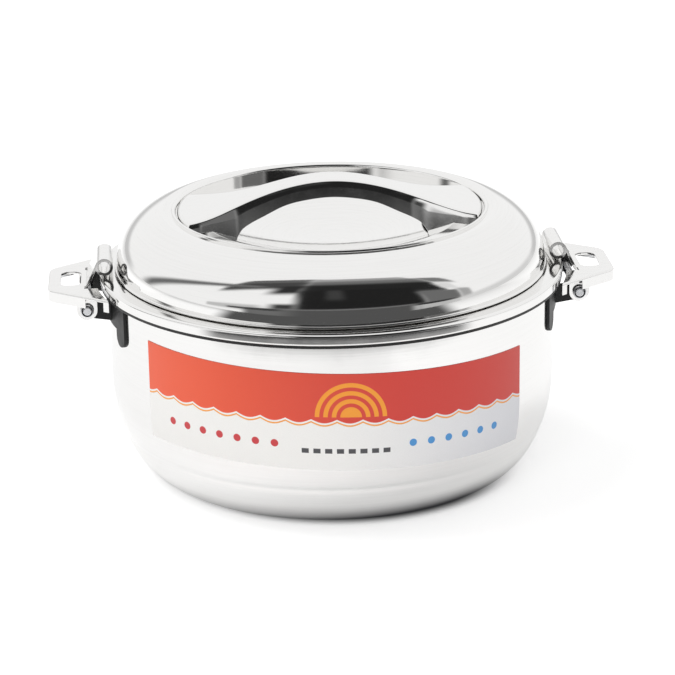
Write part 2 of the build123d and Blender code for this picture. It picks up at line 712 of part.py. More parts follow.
def clamp_handle():
    """One side handle for the +X side: grip, strap, rolled end and ears in one pressing."""
    with BuildPart() as clamp:
        with BuildSketch(Plane.XY.offset(GRIP_TOP - GRIP_FLANGE)):
            add(grip_outline(0))
        extrude(amount=GRIP_FLANGE)
        rim_edges = clamp.faces().sort_by(Axis.Z)[-1].edges()
        fillet(rim_edges.filter_by(lambda e: e.center().X > GRIP_INNER_R + 1), GRIP_EDGE_R)
        with BuildSketch(Plane.XY.offset(GRIP_TOP - GRIP_FLANGE - 1)):
            add(grip_outline(PRESSED))
            with Locations((GRIP_ROOT_X, 0)):
                Rectangle(2 * OPEN_BACK, 2 * OPEN_BACK_HALF)
        extrude(amount=GRIP_FLANGE + 1 - PRESSED, mode=Mode.SUBTRACT)
        # notch round the strap, and the finger slot
        with BuildSketch(Plane.XY.offset(GRIP_TOP - GRIP_FLANGE)):
            with Locations((NOTCH_X, 0)):
                Rectangle(NOTCH_X - GRIP_ROOT_X, 2 * NOTCH_HALF, align=(Align.MAX, Align.CENTER))
            with Locations((SLOT_X, 0)):
                RectangleRounded(SLOT_W, SLOT_L, SLOT_CORNER_R)
        extrude(amount=GRIP_FLANGE + 1, mode=Mode.SUBTRACT)
        # strap up to the roll
        with BuildSketch(Plane.XZ.offset(-ROLL_HALF)):
            with BuildLine():
                Polyline(
                    strap_point(0, 0),
                    strap_point(STRAP_RUN, 0),
                    (NOTCH_X + STRAP_LAP, GRIP_TOP),
                    (NOTCH_X + STRAP_LAP, GRIP_TOP - PRESSED),
                    strap_point(STRAP_RUN + PRESSED * 0.6, PRESSED),
                    strap_point(0, PRESSED),
                    close=True,
                )
            make_face()
        extrude(amount=2 * ROLL_HALF)
        with BuildSketch(Plane.XZ.offset(-ROLL_HALF)):
            with Locations((ROLL_X, ROLL_Z)):
                Circle(ROLL_R)
                Circle(ROLL_BORE, mode=Mode.SUBTRACT)
        extrude(amount=2 * ROLL_HALF)
        # ears that run on the hinge pin
        for y0 in (EAR_Y, -EAR_Y - PRESSED):
            with BuildSketch(Plane.XZ.offset(-y0 - PRESSED)):
                with BuildLine():
                    Polyline(
                        (PIVOT_X - EAR_R, GRIP_TOP - PRESSED / 2),
                        (PIVOT_X - EAR_R, PIVOT_Z),
                        (PIVOT_X + EAR_R, PIVOT_Z),
                        (PIVOT_X + EAR_R, GRIP_TOP - PRESSED / 2),
                        close=True,
                    )
                make_face()
                with Locations((PIVOT_X, PIVOT_Z)):
                    Circle(EAR_R)
                    Circle(PIN_R + PIN_CLEARANCE, mode=Mode.SUBTRACT)
            extrude(amount=PRESSED)
    return clamp.part


right_clamp = clamp_handle()
write(right_clamp, "right_handle")
write(right_clamp.mirror(Plane.YZ), "left_handle")


def wall_bracket():
    """The bracket under the rim for the +X side: a band with two legs, and two ears."""
    with BuildPart() as bracket:
        with BuildSketch(Plane.YZ.offset(BRACKET_CUT_X)):
            with Locations((0, (BRACKET_TOP + BRACKET_BAND_Z) / 2)):
                Rectangle(2 * BRACKET_HALF, BRACKET_TOP - BRACKET_BAND_Z)
            for y in (-(BRACKET_HALF - LEG_W / 2), BRACKET_HALF - LEG_W / 2):
                with Locations((y, (BRACKET_TOP + BRACKET_LEG_Z + LEG_W / 2) / 2)):
                    Rectangle(LEG_W, BRACKET_TOP - BRACKET_LEG_Z - LEG_W / 2)
                with Locations((y, BRACKET_LEG_Z + LEG_W / 2)):
                    Circle(LEG_W / 2)
        extrude(amount=RIM_R)
        with BuildSketch(Plane.XY.offset(BRACKET_LEG_Z)):
            Circle(BRACKET_R + PRESSED)
            Circle(BRACKET_R, mode=Mode.SUBTRACT)
        extrude(amount=BRACKET_TOP - BRACKET_LEG_Z, mode=Mode.INTERSECT)
        for y0 in (BRACKET_EAR_Y, -BRACKET_EAR_Y - PRESSED):
            with BuildSketch(Plane.XZ.offset(-y0 - PRESSED)):
                with BuildLine():
                    Polyline(
                        (WALL_R - 2, PIVOT_Z + BRACKET_EAR_R - 1),
                        (PIVOT_X, PIVOT_Z + BRACKET_EAR_R),
                        (PIVOT_X, PIVOT_Z - BRACKET_EAR_R),
                        (WALL_R - 2, BRACKET_BAND_Z + 1),
                        close=True,
                    )
                make_face()
                with Locations((PIVOT_X, PIVOT_Z)):
                    Circle(BRACKET_EAR_R)
                    Circle(PIN_R, mode=Mode.SUBTRACT)
            extrude(amount=PRESSED)
        with BuildSketch(Plane.XY.offset(BRACKET_LEG_Z)):
            Circle(BRACKET_R)
        extrude(amount=RIM_TOP - BRACKET_LEG_Z, mode=Mode.SUBTRACT)
    return bracket.part


right_wall_bracket = wall_bracket()
write(right_wall_bracket, "right_bracket")
write(right_wall_bracket.mirror(Plane.YZ), "left_bracket")

PIN_HALF = EAR_Y + PRESSED + 0.5
for side, sign in (("left", -1), ("right", 1)):
    with BuildPart() as hinge_pin:
        with BuildSketch(Plane.XZ.offset(-PIN_HALF - CAP_T)):
            with Locations((sign * PIVOT_X, PIVOT_Z)):
                Circle(PIN_R)
        extrude(amount=2 * (PIN_HALF + CAP_T))
    write(hinge_pin.part, f"{side}_hinge_pin")

with BuildPart() as hinge_pin_caps:
    for y0 in (PIN_HALF, -PIN_HALF - CAP_T):
        with BuildSketch(Plane.XZ.offset(-y0 - CAP_T)):
            with Locations((PIVOT_X, PIVOT_Z), (-PIVOT_X, PIVOT_Z)):
                Circle(CAP_R)
                Circle(PIN_R, mode=Mode.SUBTRACT)
        extrude(amount=CAP_T)
write(hinge_pin_caps.part, "hinge_pin_caps")
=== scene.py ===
"""Looks of an insulated serving casserole: polished pot, lift-off lid and two clamp handles.

Sizes in the classes are millimetres; meshes are written in metres in the frame of
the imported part: base centre at the origin, +Z up, side handles along X, label at -Y.
"""
import logging
import math
from dataclasses import dataclass, field
from enum import Enum
from typing import ClassVar

import bmesh
import bpy
from mathutils import Matrix, Vector


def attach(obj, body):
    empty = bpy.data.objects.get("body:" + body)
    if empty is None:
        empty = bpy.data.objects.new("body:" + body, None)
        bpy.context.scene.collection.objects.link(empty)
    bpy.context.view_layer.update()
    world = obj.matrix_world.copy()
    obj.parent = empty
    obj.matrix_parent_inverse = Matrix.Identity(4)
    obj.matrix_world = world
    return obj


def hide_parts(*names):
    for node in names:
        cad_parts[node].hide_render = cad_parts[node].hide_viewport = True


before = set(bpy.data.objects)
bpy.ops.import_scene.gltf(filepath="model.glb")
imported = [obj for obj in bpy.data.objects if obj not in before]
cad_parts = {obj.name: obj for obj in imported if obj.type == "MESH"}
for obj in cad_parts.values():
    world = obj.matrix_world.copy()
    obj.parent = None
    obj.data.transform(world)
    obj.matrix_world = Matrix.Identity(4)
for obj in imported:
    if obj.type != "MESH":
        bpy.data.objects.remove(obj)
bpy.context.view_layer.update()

MM = 0.001
IMAGE_SIZE = 675
WHITE = (1.0, 1.0, 1.0, 1.0)
PIVOT_X, PIVOT_Z = 110.5, 82.4  # axis of the side handles' hinge pins
BOTH = (-1, 1)
log = logging.getLogger("casserole")

Point = tuple[float, float]
Point3 = tuple[float, float, float]
Socket = bpy.types.NodeSocket


def srgb(*channels: int) -> tuple:
    """Turn red, green and blue of 0 to 255 into linear light with an alpha of 1."""
    linear = (c / 255 / 12.92 if c <= 10 else ((c / 255 + 0.055) / 1.055) ** 2.4 for c in channels)
    return (*linear, 1.0)


# ---- node trees -----------------------------------------------------------------
class Graph:
    """Adds and joins the nodes of one node tree."""

    def __init__(self, tree: bpy.types.NodeTree) -> None:
        """Keep the tree and empty it."""
        self.tree = tree
        tree.nodes.clear()

    def put(self, socket: Socket, value: object) -> None:
        """Link an input when the value is an output socket, and set it otherwise.

        Args:
            socket: the input.
            value: a plain value or an output socket.
        """
        if isinstance(value, Socket):
            self.tree.links.new(value, socket)
        else:
            socket.default_value = value

    def node(self, kind: str, inputs: dict | None = None, **settings: object) -> bpy.types.Node:
        """Add a node.

        Args:
            kind: Blender's name of the node type.
            inputs: values or output sockets by input name or number.
            settings: properties of the node itself.

        Returns:
            The new node.
        """
        new = self.tree.nodes.new(kind)
        for name, value in settings.items():
            setattr(new, name, value)
        for key, value in (inputs or {}).items():
            self.put(new.inputs[key], value)
        return new

    def math(self, operation: str, *values: object) -> Socket:
        """Return the result of a Math node on one to three values."""
        return self.node("ShaderNodeMath", dict(enumerate(values)), operation=operation).outputs[0]

    def add(self, a: object, b: object) -> Socket:
        """Return a plus b."""
        return self.math("ADD", a, b)

    def sub(self, a: object, b: object) -> Socket:
        """Return a less b."""
        return self.math("SUBTRACT", a, b)

    def mul(self, a: object, b: object) -> Socket:
        """Return a times b."""
        return self.math("MULTIPLY", a, b)

    def blend(self, share: object, a: object, b: object) -> Socket:
        """Return value a turned into value b by a share."""
        return self.add(a, self.mul(share, self.sub(b, a)))

    def reach(self, x: object, y: object) -> Socket:
        """Return how far x and y lead together."""
        return self.math("SQRT", self.add(self.mul(x, x), self.mul(y, y)))

    def ramp(self, value: object, low: float, high: float, start: object = 0.0, end: object = 1.0) -> Socket:
        """Ease a value from start to end while it runs from low to high.

        Args:
            value: the driving value.
            low: where the easing begins.
            high: where it ends.
            start: result at low.
            end: result at high.

        Returns:
            The eased value.
        """
        return self.node("ShaderNodeMapRange", {"Value": value, "From Min": low, "From Max": high,
                                                "To Min": start, "To Max": end},
                         interpolation_type="SMOOTHSTEP").outputs[0]

    def between(self, value: object, low: float, high: float, soft: float) -> Socket:
        """Tell where a value lies between two limits.

        Args:
            value: the value.
            low: lower limit.
            high: upper limit.
            soft: half the width of the soft edges.

        Returns:
            1 between the limits and 0 outside.
        """
        over = self.ramp(value, low - soft, low + soft)
        return self.mul(over, self.ramp(value, high - soft, high + soft, 1.0, 0.0))

    def mix(self, share: object, a: object, b: object) -> Socket:
        """Return colour a turned into colour b by a share."""
        return self.node("ShaderNodeMix", {0: share, 6: a, 7: b}, data_type="RGBA").outputs[2]

    def place(self) -> Socket:
        """Return the place on the object."""
        return self.node("ShaderNodeTexCoord").outputs["Object"]

    def split(self, vector: object) -> bpy.types.NodeOutputs:
        """Return the three values of a vector."""
        return self.node("ShaderNodeSeparateXYZ", {0: vector}).outputs

    def vector(self, operation: str, *vectors: object) -> Socket:
        """Return the value that a Vector Math node finds for its vectors."""
        made = self.node("ShaderNodeVectorMath", dict(enumerate(vectors)), operation=operation)
        return made.outputs["Value"]

    def noise(self, vector: object, scale: float, detail: float = 2.0, rough: float = 0.5) -> Socket:
        """Return a noise value from 0 to 1 at a vector."""
        return self.node("ShaderNodeTexNoise", {"Vector": vector, "Scale": scale, "Detail": detail,
                                                "Roughness": rough}).outputs[0]

    def bump(self, height: object, depth: float, below: object = None) -> Socket:
        """Bend the normal by a height field.

        Args:
            height: the field, from 0 to 1.
            depth: metres that a height of 1 stands for.
            below: a normal from another bump to build on.

        Returns:
            The bent normal.
        """
        inputs = {"Strength": 1.0, "Distance": depth, "Height": height}
        if below is not None:
            inputs["Normal"] = below
        return self.node("ShaderNodeBump", inputs).outputs[0]

    def glow(self, strength: object) -> Socket:
        """Return a white emission of a strength."""
        return self.node("ShaderNodeEmission", {"Color": WHITE, "Strength": strength}).outputs[0]


def new_material(name: str) -> tuple[bpy.types.Material, Graph]:
    """Make an empty material.

    Args:
        name: its name.

    Returns:
        The material and the graph of its nodes.
    """
    made = bpy.data.materials.new(name)
    made.use_nodes = True
    return made, Graph(made.node_tree)


# ---- finishes -------------------------------------------------------------------
@dataclass(frozen=True)
class Finish:
    """A surface finish; each kind of finish dresses its own shader."""

    made: ClassVar[dict] = {}
    name: str
    slot: str
    colour: tuple = (0.8, 0.8, 0.8, 1.0)
    gloss: float = 0.4

    def material(self) -> bpy.types.Material:
        """Make the finish's material on first use.

        Returns:
            The material.
        """
        if self.name not in Finish.made:
            Finish.made[self.name], graph = new_material(self.name)
            shader = graph.node("ShaderNodeBsdfPrincipled",
                                {"Base Color": self.colour, "Roughness": self.gloss})
            graph.node("ShaderNodeOutputMaterial", {"Surface": shader.outputs[0]})
            for name, value in self.dress(graph).items():
                graph.put(shader.inputs[name], value)
        return Finish.made[self.name]

    def tone(self, factor: float, extra: float = 0.0) -> tuple:
        """Return the finish's colour made darker or lighter."""
        return tuple(min(c * factor + extra, 1.0) for c in self.colour[:3]) + (1.0,)

    def dress(self, graph: Graph) -> dict:
        """Add the detail of the finish and return the shader's inputs; the plain finish has none."""
        return {}


@dataclass(frozen=True)
class SpunSteel(Finish):
    """Stainless steel polished on a lathe: faint rings, soft waves in the sheet, wiped smudges."""

    colour: tuple = (0.90, 0.895, 0.885, 1.0)
    gloss: float = 0.05
    smudge: float = 0.05
    smudge_scale: float = 38.0
    ring_pitch: float = 0.9
    ring_depth: float = 0.00010
    ring_tone: float = 0.93
    ring_share: float = 0.35
    wave_size: float = 45.0
    wave_depth: float = 0.030

    def dress(self, graph: Graph) -> dict:
        """Make rings about the axis, waves and smudges.

        Args:
            graph: the material's graph.

        Returns:
            The shader's inputs.
        """
        place = graph.place()
        x, y, z = graph.split(place)
        turn = graph.math("ARCTAN2", y, x)
        pitch = self.ring_pitch * MM
        around = graph.mul(turn, pitch * 2)
        along = graph.node("ShaderNodeCombineXYZ", {0: graph.reach(x, y), 1: z, 2: around})
        ring = graph.noise(along.outputs[0], 1 / pitch, 3.0, 0.65)
        wave = graph.noise(place, 1 / (self.wave_size * MM), 1.0)
        wiped = graph.noise(place, self.smudge_scale, 4.0, 0.6)
        streak = graph.ramp(ring, 0.35, 0.75)
        haze = graph.mul(graph.ramp(wiped, 0.45, 0.8), self.smudge)
        rough = graph.add(graph.mul(streak, self.smudge * 0.5), haze)
        soft = graph.bump(wave, self.wave_depth * MM)
        shine = graph.mix(graph.mul(streak, self.ring_share), self.colour, self.tone(self.ring_tone))
        return {"Metallic": 1.0, "Roughness": graph.add(rough, self.gloss), "Base Color": shine,
                "Normal": graph.bump(ring, self.ring_depth * MM, soft)}


@dataclass(frozen=True)
class BuffedSteel(Finish):
    """Pressed stainless steel buffed along its length, a little duller than a spun piece."""

    colour: tuple = (0.89, 0.885, 0.875, 1.0)
    gloss: float = 0.09
    worn_gloss: float = 2.2
    worn_scale: float = 160.0
    grain: tuple = (120.0, 1500.0, 1500.0)
    grain_depth: float = 0.0004
    grain_tone: float = 0.9
    grain_share: float = 0.4
    dent_size: float = 9.0
    dent_depth: float = 0.012

    def dress(self, graph: Graph) -> dict:
        """Make buffing lines along X and shallow unevenness.

        Args:
            graph: the material's graph.

        Returns:
            The shader's inputs.
        """
        place = graph.place()
        along = graph.node("ShaderNodeMapping", {"Vector": place, "Scale": self.grain}).outputs[0]
        line = graph.noise(along, 1.0, 3.0, 0.6)
        dent = graph.noise(place, 1 / (self.dent_size * MM), 1.5)
        worn = graph.noise(place, self.worn_scale, 4.0, 0.6)
        share = graph.ramp(line, 0.4, 0.8, 0.0, self.grain_share)
        soft = graph.bump(dent, self.dent_depth * MM)
        return {"Metallic": 1.0, "Base Color": graph.mix(share, self.colour, self.tone(self.grain_tone)),
                "Roughness": graph.ramp(worn, 0.3, 0.8, self.gloss, self.gloss * self.worn_gloss),
                "Normal": graph.bump(line, self.grain_depth * MM, soft)}


@dataclass(frozen=True)
class Coating(Finish):
    """Paint, moulded plastic or rubber: a fine skin with rubbed patches."""

    pitch: float = 0.5
    skin_depth: float = 0.004
    patch: float = 0.12
    patch_scale: float = 90.0

    def dress(self, graph: Graph) -> dict:
        """Make the fine skin and the rubbed patches.

        Args:
            graph: the material's graph.

        Returns:
            The shader's inputs.
        """
        place = graph.place()
        skin = graph.noise(place, 1 / (self.pitch * MM), 2.0)
        rubbed = graph.noise(place, self.patch_scale, 3.0, 0.6)
        return {"Roughness": graph.ramp(rubbed, 0.3, 0.75, self.gloss, min(self.gloss + self.patch, 1.0)),
                "Base Color": graph.mix(graph.ramp(rubbed, 0.4, 0.8), self.colour, self.tone(1.25, 0.004)),
                "Normal": graph.bump(skin, self.skin_depth * MM)}


@dataclass(frozen=True)
class Foam(Finish):
    """Rigid insulation foam with open cells and darker skin in places."""

    cell: float = 1.1
    cell_depth: float = 0.25
    skin_tone: float = 0.72

    def dress(self, graph: Graph) -> dict:
        """Make cells and a mottled tone.

        Args:
            graph: the material's graph.

        Returns:
            The shader's inputs.
        """
        place = graph.place()
        scale = 1 / (self.cell * MM)
        cells = graph.node("ShaderNodeTexVoronoi", {"Vector": place, "Scale": scale}).outputs[0]
        mottle = graph.noise(place, 60.0, 4.0, 0.6)
        share = graph.mul(graph.ramp(mottle, 0.3, 0.8), graph.ramp(cells, 0.0, 0.6, 1.0, 0.4))
        return {"Base Color": graph.mix(share, self.colour, self.tone(self.skin_tone)),
                "Normal": graph.bump(cells, self.cell_depth * MM)}


class Ink(Enum):
    """Colours printed on the label; the cool paper and the deep red are partly the print's own tone and
    partly painted shade on the label's right end.
    """

    WARM_PAPER = srgb(247, 246, 243)
    COOL_PAPER = srgb(226, 227, 233)
    ORANGE_RED = srgb(243, 92, 52)
    DEEP_RED = srgb(214, 56, 44)
    LINE_ORANGE = srgb(246, 160, 60)
    SUN_ORANGE = srgb(250, 160, 38)
    DOT_RED = srgb(206, 56, 62)
    DOT_BLUE = srgb(72, 150, 214)
    DASH_GREY = srgb(72, 72, 76)
    FIBRE_GREY = srgb(120, 112, 108)


@dataclass(frozen=True)
class PrintedFilm(Finish):
    """Printed film: a red band with a scalloped edge, sunrise arcs, dots and dashes."""

    width: float = 186.9
    height: float = 44.0
    # ramps along the label to the cool paper and the deep red: partly the print's own tone, partly painted
    # shade on the right end
    cooling: tuple = (-20.0, 90.0, 0.0, 0.8)
    reddening: tuple = (-90.0, 40.0)
    band_low: float = 23.5
    scallop: float = 11.0
    scallop_rise: float = 1.7
    line: tuple = (-1.5, -0.8)
    arc_centre: tuple = (6.0, 24.6)
    arc_radii: tuple = (4.6, 8.2, 11.8, 15.4)
    arc_width: float = 1.9
    dot_pitch: float = 8.5
    dot_radius: float = 1.7
    dot_height: float = 11.5
    red_dots: tuple = (-78.0, -27.0)
    blue_dots: tuple = (33.0, 75.5)
    dash_rows: tuple = (8.0, 10.2)
    dash_span: tuple = (-16.0, 24.0)
    dash_pitch: float = 5.0
    dash_gap: float = -0.35
    edge: float = 0.12

    def stripe(self, graph: Graph, value: object, low: object, high: object) -> Socket:
        """Tell where a value lies between two limits that may vary themselves.

        Args:
            graph: the material's graph.
            value: the value.
            low: lower limit.
            high: upper limit.

        Returns:
            1 between the limits and 0 outside, with a narrow soft edge.
        """
        over = graph.ramp(graph.sub(value, low), -self.edge, self.edge)
        under = graph.ramp(graph.sub(high, value), -self.edge, self.edge)
        return graph.mul(over, under)

    def dots(self, graph: Graph, across: object, up: object, span: tuple) -> Socket:
        """Mark a row of dots between two places along the label.

        Args:
            graph: the material's graph.
            across: distance along the label.
            up: height on the label.
            span: where the row starts and ends.

        Returns:
            1 on the dots.
        """
        half = self.dot_pitch / 2
        x = graph.math("WRAP", graph.sub(across, span[0]), half, -half)
        reach = graph.reach(x, graph.sub(up, self.dot_height))
        return graph.mul(self.stripe(graph, reach, -1.0, self.dot_radius),
                         self.stripe(graph, across, span[0] - half, span[1] + half))

    def sunrise(self, graph: Graph, across: object, up: object) -> Socket:
        """Mark a half disc with half rings round it.

        Args:
            graph: the material's graph.
            across: distance along the label.
            up: height on the label.

        Returns:
            1 on the disc and the rings.
        """
        x, y = graph.sub(across, self.arc_centre[0]), graph.sub(up, self.arc_centre[1])
        reach = graph.reach(x, y)
        arcs = self.stripe(graph, reach, -1.0, self.arc_radii[0])
        for radius in self.arc_radii[1:]:
            arcs = graph.math("MAXIMUM", arcs, self.stripe(graph, reach, radius - self.arc_width, radius))
        return graph.mul(arcs, self.stripe(graph, y, 0.0, self.height))

    def dashes(self, graph: Graph, across: object, up: object) -> Socket:
        """Mark a row of dashes.

        Args:
            graph: the material's graph.
            across: distance along the label.
            up: height on the label.

        Returns:
            1 on the dashes.
        """
        row = graph.mul(self.stripe(graph, up, *self.dash_rows), self.stripe(graph, across, *self.dash_span))
        beat = graph.math("SINE", graph.mul(across, 2 * math.pi / self.dash_pitch))
        return graph.mul(row, graph.math("GREATER_THAN", beat, self.dash_gap))

    def dress(self, graph: Graph) -> dict:
        """Print the band, arcs, dots and dashes on the film.

        Args:
            graph: the material's graph.

        Returns:
            The shader's inputs.
        """
        uv = graph.node("ShaderNodeUVMap", uv_map="Print").outputs[0]
        part = graph.split(uv)
        across = graph.mul(graph.sub(part[0], 0.5), self.width)
        up = graph.mul(part[1], self.height)
        # paper and red band turn cooler and darker towards the right end: partly the print's own tone, partly
        # painted shade
        colour = graph.mix(graph.ramp(across, *self.cooling), Ink.WARM_PAPER.value, Ink.COOL_PAPER.value)
        red = graph.mix(graph.ramp(across, *self.reddening), Ink.ORANGE_RED.value, Ink.DEEP_RED.value)
        ripple = graph.math("ABSOLUTE", graph.math("SINE", graph.mul(across, math.pi / self.scallop)))
        low = graph.sub(self.band_low, graph.mul(ripple, self.scallop_rise))
        fibre = graph.noise(uv, 240.0, 3.0, 0.6)
        for mask, ink in ((self.stripe(graph, up, low, self.height + 1), red),
                          (self.stripe(graph, graph.sub(up, low), *self.line), Ink.LINE_ORANGE),
                          (self.sunrise(graph, across, up), Ink.SUN_ORANGE),
                          (self.dots(graph, across, up, self.red_dots), Ink.DOT_RED),
                          (self.dots(graph, across, up, self.blue_dots), Ink.DOT_BLUE),
                          (self.dashes(graph, across, up), Ink.DASH_GREY),
                          (graph.ramp(fibre, 0.35, 0.8, 0.0, 0.07), Ink.FIBRE_GREY)):
            colour = graph.mix(mask, colour, ink.value if isinstance(ink, Ink) else ink)
        return {"Base Color": colour, "Coat Weight": 0.25, "Coat Roughness": 0.12,
                "Roughness": graph.ramp(fibre, 0.3, 0.8, self.gloss, self.gloss + 0.12),
                "Normal": graph.bump(graph.noise(uv, 14.0, 2.0), 0.05 * MM)}


POLISHED_POT = SpunSteel("polished_pot", "polished_shell")
POLISHED_LID = SpunSteel("polished_lid", "polished_shell", wave_size=60.0)
POLISHED_BOWL = SpunSteel("polished_bowl", "polished_shell", gloss=0.06, ring_depth=0.0003)
POLISHED_BAND = BuffedSteel("polished_band", "polished_pressing", gloss=0.05, dent_size=30.0,
                            grain_depth=0.0002)
BUFFED_CLAMP = BuffedSteel("buffed_clamp", "polished_pressing")
SATIN_STEEL = SpunSteel("satin_spun", "satin_steel", gloss=0.28, smudge=0.12, ring_depth=0.002)
BRIGHT_ZINC = BuffedSteel("bright_zinc", "bright_hardware", colour=(0.78, 0.79, 0.81, 1.0), gloss=0.2,
                          grain=(900.0, 900.0, 900.0))
BLACK_BRACKET = Coating("black_coat", "black_bracket", srgb(14, 14, 15), 0.42)
BLACK_PLASTIC = Coating("black_moulding", "black_plastic", srgb(20, 20, 20), 0.42)
WHITE_PLASTIC = Coating("white_moulding", "white_plastic", srgb(232, 231, 226), 0.38)
SEAL_RUBBER = Coating("grey_silicone", "seal_rubber", srgb(222, 221, 214), 0.5, skin_depth=0.01)
INSULATION = Foam("open_foam", "insulation_foam", srgb(232, 214, 168), 0.9)
LABEL_PRINT = PrintedFilm("label_print", "printed_film", gloss=0.34)


# ---- mesh helpers ---------------------------------------------------------------
def link(name: str, mesh: bpy.types.Mesh) -> bpy.types.Object:
    """Put a mesh into the scene.

    Args:
        name: name of the new object.
        mesh: its mesh.

    Returns:
        The new object.
    """
    piece = bpy.data.objects.new(name, mesh)
    bpy.context.scene.collection.objects.link(piece)
    return piece


def new_piece(name: str, points: list, edges: list, faces: list) -> bpy.types.Object:
    """Make an object of points in metres.

    Args:
        name: name of the object and its mesh.
        points: the points.
        edges: pairs of point numbers, or none.
        faces: lists of point numbers, or none.

    Returns:
        The new object.
    """
    mesh = bpy.data.meshes.new(name)
    mesh.from_pydata(points, edges, faces)
    return link(name, mesh)


def grid(wide: int, tall: int) -> tuple[list, list]:
    """Join a grid of points that are numbered row by row.

    Args:
        wide: points in a row.
        tall: number of rows.

    Returns:
        Its faces, and the point numbers once round its border.
    """
    starts = [row * wide + column for row in range(tall - 1) for column in range(wide - 1)]
    border = [*range(wide), *(wide * (row + 1) - 1 for row in range(1, tall))]
    border += [wide * tall - 1 - k for k in range(1, wide)] + [wide * row for row in range(tall - 2, 0, -1)]
    return [(a, a + 1, a + wide + 1, a + wide) for a in starts], border


def close_up(mesh: bpy.types.Mesh, crease: float, merge: float = 1e-7) -> None:
    """Merge doubles, turn faces outwards and shade smooth except over sharp edges.

    Args:
        mesh: the mesh to finish, in metres.
        crease: edges that turn more than this many degrees stay sharp.
        merge: points nearer than this are merged.
    """
    work = bmesh.new()
    work.from_mesh(mesh)
    bmesh.ops.remove_doubles(work, verts=work.verts, dist=merge)
    bmesh.ops.recalc_face_normals(work, faces=work.faces)
    for face in work.faces:
        face.smooth = True
    for edge in work.edges:
        edge.smooth = not (len(edge.link_faces) == 2 and edge.calc_face_angle() > math.radians(crease))
    work.to_mesh(mesh)
    work.free()
    mesh.update()


def bake(piece: bpy.types.Object) -> bpy.types.Object:
    """Turn a piece's modifiers into plain mesh and remove them.

    Args:
        piece: the object with its modifiers.

    Returns:
        The same object with its final mesh.
    """
    bpy.context.view_layer.update()
    ready = piece.evaluated_get(bpy.context.evaluated_depsgraph_get())
    mesh = bpy.data.meshes.new_from_object(ready)
    mesh.name = piece.name
    piece.modifiers.clear()
    piece.data = mesh
    return piece


def add_bevel(piece: bpy.types.Object, radius: float, steps: int, crease: float) -> bpy.types.BevelModifier:
    """Round a piece's sharp edges with a modifier.

    Args:
        piece: the piece.
        radius: radius of the rounding in millimetres.
        steps: faces across it.
        crease: edges that turn more than this many degrees are rounded.

    Returns:
        The modifier.
    """
    bevel = piece.modifiers.new("edge", "BEVEL")
    bevel.width = radius * MM
    bevel.segments = steps
    bevel.limit_method = "ANGLE"
    bevel.angle_limit = math.radians(crease)
    return bevel


def hand_over(piece: bpy.types.Object, body: str, finish: Finish, node: str) -> None:
    """Dress a finished piece, hide the node it stands for and let it ride on its body.

    Args:
        piece: the finished piece, its place in its mesh.
        body: name of the body it moves with.
        finish: its surface finish.
        node: the node it replaces.
    """
    piece.data.materials.clear()
    piece.data.materials.append(finish.material())
    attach(piece, body)
    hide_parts(node)
    log.info("%s: %d faces on %s", piece.name, len(piece.data.polygons), body)


def softened_copy(node: str, name: str, radius: float, steps: int = 3,
                  crease: float = 30.0) -> bpy.types.Object:
    """Copy a node's mesh, merge it and round its sharp edges.

    Args:
        node: the node to copy.
        name: name of the new piece.
        radius: radius of the rounding in millimetres.
        steps: faces across the rounding.
        crease: edges that turn more than this many degrees are rounded.

    Returns:
        The new plain mesh object.
    """
    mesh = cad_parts[node].data.copy()
    mesh.name = name
    work = bmesh.new()
    work.from_mesh(mesh)
    bmesh.ops.remove_doubles(work, verts=work.verts, dist=2e-6)
    bmesh.ops.dissolve_limit(work, angle_limit=math.radians(0.6), verts=work.verts, edges=work.edges)
    for face in work.faces:
        face.smooth = True
    work.to_mesh(mesh)
    work.free()
    mesh.materials.clear()
    piece = link(name, mesh)
    add_bevel(piece, radius, steps, crease).use_clamp_overlap = True
    piece.modifiers.new("weight", "WEIGHTED_NORMAL").keep_sharp = True
    log.info("%s: edges rounded in %d steps", name, steps)
    return bake(piece)


@dataclass
class Section:
    """Closed section of a turned piece, as radius and height in millimetres."""

    points: list = field(default_factory=list)
    guard: float = 0.4

    def start(self, radius: float, height: float) -> "Section":
        """Begin at a point and return the section."""
        self.points.append((radius, height))
        return self

    def to(self, radius: float, height: float, pieces: int = 1) -> "Section":
        """Run straight to a point, with guard points that keep bends from bleeding into the run.

        Args:
            radius: radius of the end.
            height: height of the end.
            pieces: number of equal runs between the guard points.

        Returns:
            The section.
        """
        r0, z0 = self.points[-1]
        length = math.hypot(radius - r0, height - z0)
        shares = [k / pieces for k in range(1, pieces)]
        if length > 3 * self.guard:
            near = self.guard / length
            shares = [near] + [s for s in shares if near < s < 1 - near] + [1 - near]
        for share in shares + [1.0]:
            self.points.append((r0 + (radius - r0) * share, z0 + (height - z0) * share))
        return self

    def arc(self, centre: Point, radii: Point | float, begin: float, end: float, pieces: int) -> "Section":
        """Follow an elliptical or round arc.

        Args:
            centre: its centre.
            radii: its two radii, across and up, or its one radius.
            begin: start angle in degrees, counter-clockwise from outwards.
            end: end angle.
            pieces: number of chords.

        Returns:
            The section.
        """
        wide, tall = radii if isinstance(radii, tuple) else (radii, radii)
        for k in range(pieces + 1):
            angle = math.radians(begin + (end - begin) * k / pieces)
            point = (centre[0] + wide * math.cos(angle), centre[1] + tall * math.sin(angle))
            if not self.points or math.dist(point, self.points[-1]) > 1e-4:
                self.points.append(point)
        return self


